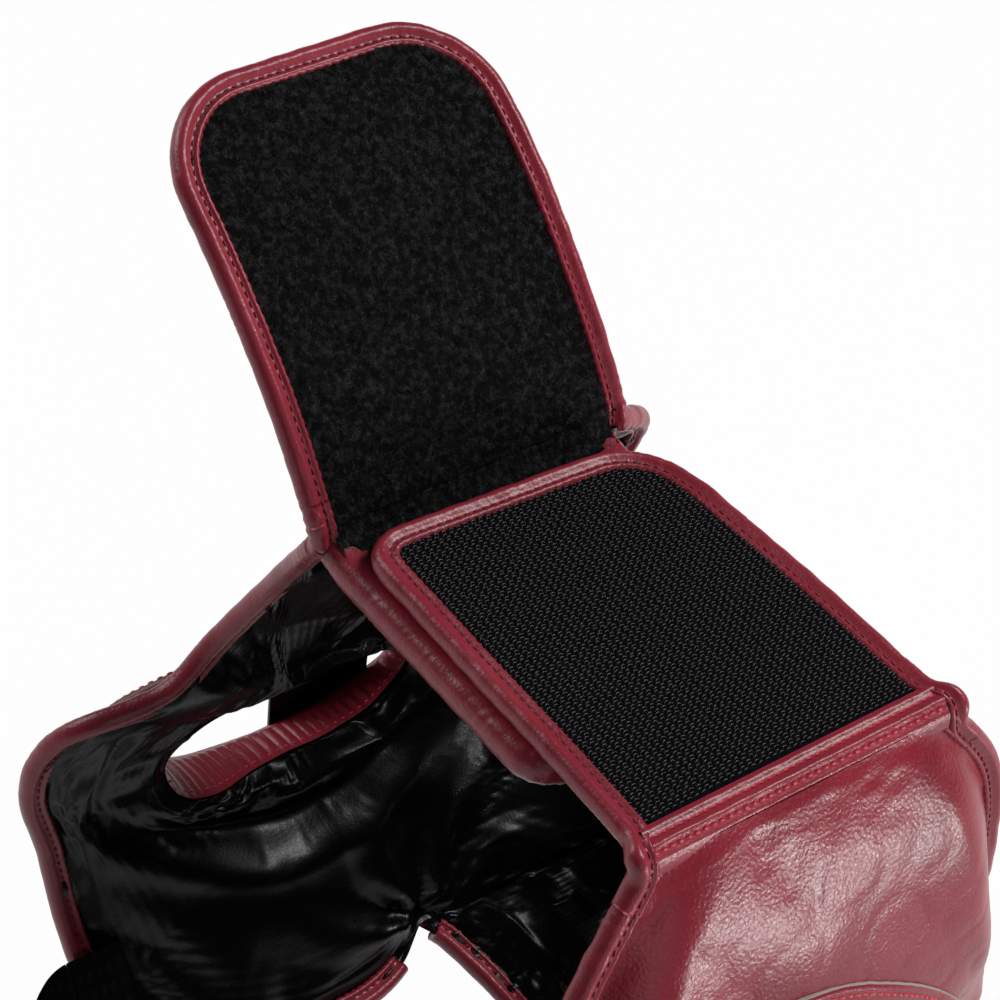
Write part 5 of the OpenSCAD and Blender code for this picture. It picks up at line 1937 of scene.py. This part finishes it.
@dataclass
class ChinStrap:
    """The webbing under the chin, with its anchor, tab and fastening patches."""

    width: float = 25.0
    thick: float = 2.0
    drop: float = 132.0
    hold_u: float = 0.52
    leaves: float = 8.0
    bow: float = 0.9
    patch: float = 1.2
    end: float = 24.0
    tab_end: float = 54.0
    split: float = 178.6
    binding: float = 3.5

    def __post_init__(self) -> None:
        """Works out where the strap is held."""
        self.y0: float = -HEAD.jaw_drop - self.leaves
        self.w: float = -(self.binding - HEAD.edge_pad / 2) - 0.3 - self.bow - self.thick
        self.hold = HEAD.at(1, np.array(self.hold_u), np.array(-HEAD.jaw_drop), np.array(self.w))
        d = HEAD.ring(1, np.array([self.hold_u + 0.02])) - HEAD.ring(1, np.array([self.hold_u - 0.02]))
        self.slant: float = float(d[0, 0] / d[0, 1])
        self.gap: float = self.thick + 2 * self.patch + 0.9

    def frames(self, a: Array, off: Array) -> tuple[Array, Array, Array]:
        """Returns the strap's inner line, the way across it and the way out of it at angle a, in degrees."""
        c, s = np.cos(np.radians(a)), np.sin(np.radians(a))
        sag = self.drop + self.y0
        mid = np.stack([self.hold[0] * c, self.y0 - sag * s, self.hold[2] + 0 * c], -1)
        run = unit(np.stack([self.hold[0] * s, sag * c, 0 * c], -1))
        wide = unit(np.stack([self.slant * c, 0 * c, 1 + 0 * c], -1))
        out = unit(np.cross(run, wide))
        return mid + off[:, None] * out, wide, out

    def band(self, name: str, a0: float, a1: float, off: Callable[[Array], Array], half: float, thick: float,
             finish: Finish, body: Body, held: bool = False) -> None:
        """Makes one flat piece of the strap.

        Args:
            name: The piece's name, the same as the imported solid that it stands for.
            a0, a1: The angles of its ends, in degrees.
            off: Its distance outside the first line at each angle.
            half: Half its width.
            thick: Its thickness.
            finish: Its material.
            body: The body that it rides on.
            held: Whether it goes on up inside the jaw edge, where it is sewn.
        """
        a = np.linspace(a0, a1, max(8, int(abs(a1 - a0) * 1.2)))
        mid, wide, out = self.frames(a, off(a))
        if held:
            y = np.linspace(-HEAD.jaw_drop + 10, -HEAD.jaw_drop + 2, 14)
            x = np.sign(mid[0, 0]) * HEAD.at(1, np.full(14, self.hold_u), y, np.full(14, self.w))[:, 0]
            mid = np.concatenate([np.stack([x, y, np.full(14, mid[0, 2])], 1), mid])
            wide = np.concatenate([np.repeat(wide[:1], 14, 0), wide])
            out = np.concatenate([np.repeat(out[:1], 14, 0), out])
        k = np.linspace(-1, 1, 25)
        rounding = np.clip((1 - np.abs(k)) * 12, 0, 1) ** 0.5
        across = mid[:, None] + (half * k)[None, :, None] * wide[:, None]
        low = across + (thick * 0.5 * (1 - 0.85 * rounding))[None, :, None] * out[:, None]
        high = across + (thick * (0.5 + 0.45 * rounding))[None, :, None] * out[:, None]
        piece = slab_mesh(name, high, low, finish)
        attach(piece, body.value)
        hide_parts(name)
        if thick > 1.5:
            for edge, share in (("a", -0.78), ("b", 0.78)):
                line = mid + share * half * wide + thick * 0.97 * out
                row = stitch_line(f"{name}_stitches_{edge}", line, out, 3.2, THREAD_BLACK, 2.0, 0.4)
                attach(row, body.value)

    def build(self) -> None:
        """Makes the anchor, the strap, the tab and the patches."""
        half = self.width / 2
        flat = lambda a: 0 * a
        lift = lambda a: self.gap * ease((180 - a) / 110)
        self.band("chin_strap", self.split - 0.4, self.end, lift, half, self.thick, WEBBING, Body.CHIN_STRAP)
        self.band("chin_anchor", 180, self.split + 0.4, flat, half, self.thick, WEBBING, Body.SHELL, True)
        self.band("chin_tab", 0, self.tab_end, flat, half, self.thick, WEBBING, Body.SHELL, True)
        first, last = self.end + 4, self.tab_end - 2
        self.band("chin_loop_patch", first, last, lambda a: 0 * a + self.thick + 0.3, half - 2, self.patch,
                  FLEECE, Body.SHELL)
        self.band("chin_hook_patch", first, last, lambda a: 0 * a + self.thick + 0.6 + self.patch, half - 2,
                  self.patch, TAPE, Body.CHIN_STRAP)
        LOG.info("chin strap: webbing, anchor, tab and patches")


# ---------------------------------------------------------------- stage


@dataclass
class Studio:
    """A pale seamless floor, soft boxes and the camera."""

    position: tuple[float, float, float] = (0.4309, -0.4685, 0.8582)
    right: tuple[float, float, float] = (0.60056, 0.78674, 0.14273)
    up: tuple[float, float, float] = (-0.60746, 0.33286, 0.72125)
    back: tuple[float, float, float] = (0.51992, -0.51986, 0.67781)
    lens: float = 119.9
    whiteness: float = 0.98
    floor_half: float = 6.0

    def floor(self) -> None:
        """Lays the floor: a white sweep that stays white in what the camera and shiny faces see."""
        mesh = bpy.data.meshes.new("floor")
        r = self.floor_half
        mesh.from_pydata([(-r, -r, 0), (r, -r, 0), (r, r, 0), (-r, r, 0)], [], [(0, 1, 2, 3)])
        floor = bpy.data.objects.new("floor", mesh)
        bpy.context.scene.collection.objects.link(floor)
        made = bpy.data.materials.new("white_paper_sweep")
        made.use_nodes = True
        tree = made.node_tree
        shader = tree.nodes["Principled BSDF"]
        shader.inputs["Base Color"].default_value = linear("#c0c0c0")
        shader.inputs["Roughness"].default_value = 0.9
        self.white_to_eye(tree, shader.outputs[0], tree.nodes["Material Output"].inputs["Surface"], "#ffffff")
        mesh.materials.append(made)

    def white_to_eye(self, tree: Tree, plain: Socket, out: Socket, colour: str) -> None:
        """Shows a plain bright colour to camera, glossy and transmission rays, over a trace of the shadow.

        Args:
            tree: The material's tree.
            plain: What the other rays see.
            out: The surface output.
            colour: The bright colour.
        """
        rays = node(tree, "ShaderNodeLightPath").outputs
        shiny = maths(tree, "MAXIMUM", rays["Is Glossy Ray"], rays["Is Transmission Ray"])
        seen = maths(tree, "MULTIPLY", maths(tree, "MAXIMUM", rays["Is Camera Ray"], shiny), self.whiteness)
        bright = node(tree, "ShaderNodeEmission", {"Color": linear(colour), "Strength": 1.0})
        mixed = node(tree, "ShaderNodeMixShader", {0: seen, 1: plain, 2: bright.outputs[0]})
        tree.links.new(mixed.outputs[0], out)

    @staticmethod
    def soft_box(name: str, place: Sequence[float], aim: Sequence[float], size: tuple[float, float],
                 power: float) -> None:
        """Hangs a soft box.

        Args:
            name: Its name.
            place: Where it is, in metres.
            aim: What it points at.
            size: Its width and height, in metres.
            power: Its power, in watts.
        """
        light = bpy.data.lights.new(name, "AREA")
        light.shape, light.size, light.size_y = "RECTANGLE", size[0], size[1]
        light.energy = power
        lamp = bpy.data.objects.new(name, light)
        lamp.location = place
        lamp.rotation_euler = (Vector(aim) - Vector(place)).to_track_quat("-Z", "Y").to_euler()
        bpy.context.scene.collection.objects.link(lamp)

    def build(self) -> None:
        """Makes the floor, the world, the lights and the camera."""
        self.floor()
        world = bpy.data.worlds.new("studio")
        world.use_nodes = True
        world.node_tree.nodes["Background"].inputs["Color"].default_value = linear("#c4c6ca")
        world.node_tree.nodes["Background"].inputs["Strength"].default_value = 0.08
        bpy.context.scene.world = world
        target = (0.0, 0.0, 0.2)
        self.soft_box("key", (0.25, 0.75, 1.35), target, (0.5, 0.45), 15.5)
        self.soft_box("fill", (-1.2, -0.6, 0.9), target, (0.8, 0.8), 10.0)
        self.soft_box("side", (1.3, -0.6, 0.8), target, (0.6, 0.6), 1.8)
        self.soft_box("low", (1.15, 0.6, 0.12), target, (0.34, 0.12), 8.5)
        data = bpy.data.cameras.new("camera")
        data.lens, data.sensor_width = self.lens, 36.0
        camera = bpy.data.objects.new("camera", data)
        turn = Matrix([self.right, self.up, self.back]).transposed()
        camera.matrix_world = Matrix.Translation(self.position) @ turn.to_4x4()
        bpy.context.scene.collection.objects.link(camera)
        bpy.context.scene.camera = camera
        bpy.context.scene.view_settings.view_transform = "Standard"


def main() -> None:
    """Builds every piece in order."""
    logging.basicConfig(level=logging.INFO, format="%(message)s")
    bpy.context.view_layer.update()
    Studio().build()
    for side in Side:
        SidePad(side).build()
    BrowPad().build()
    HookFlap().build()
    LoopFlap().build()
    Tongue().build()
    Crown().build()
    ChinStrap().build()


if __name__ == "__main__":
    main()
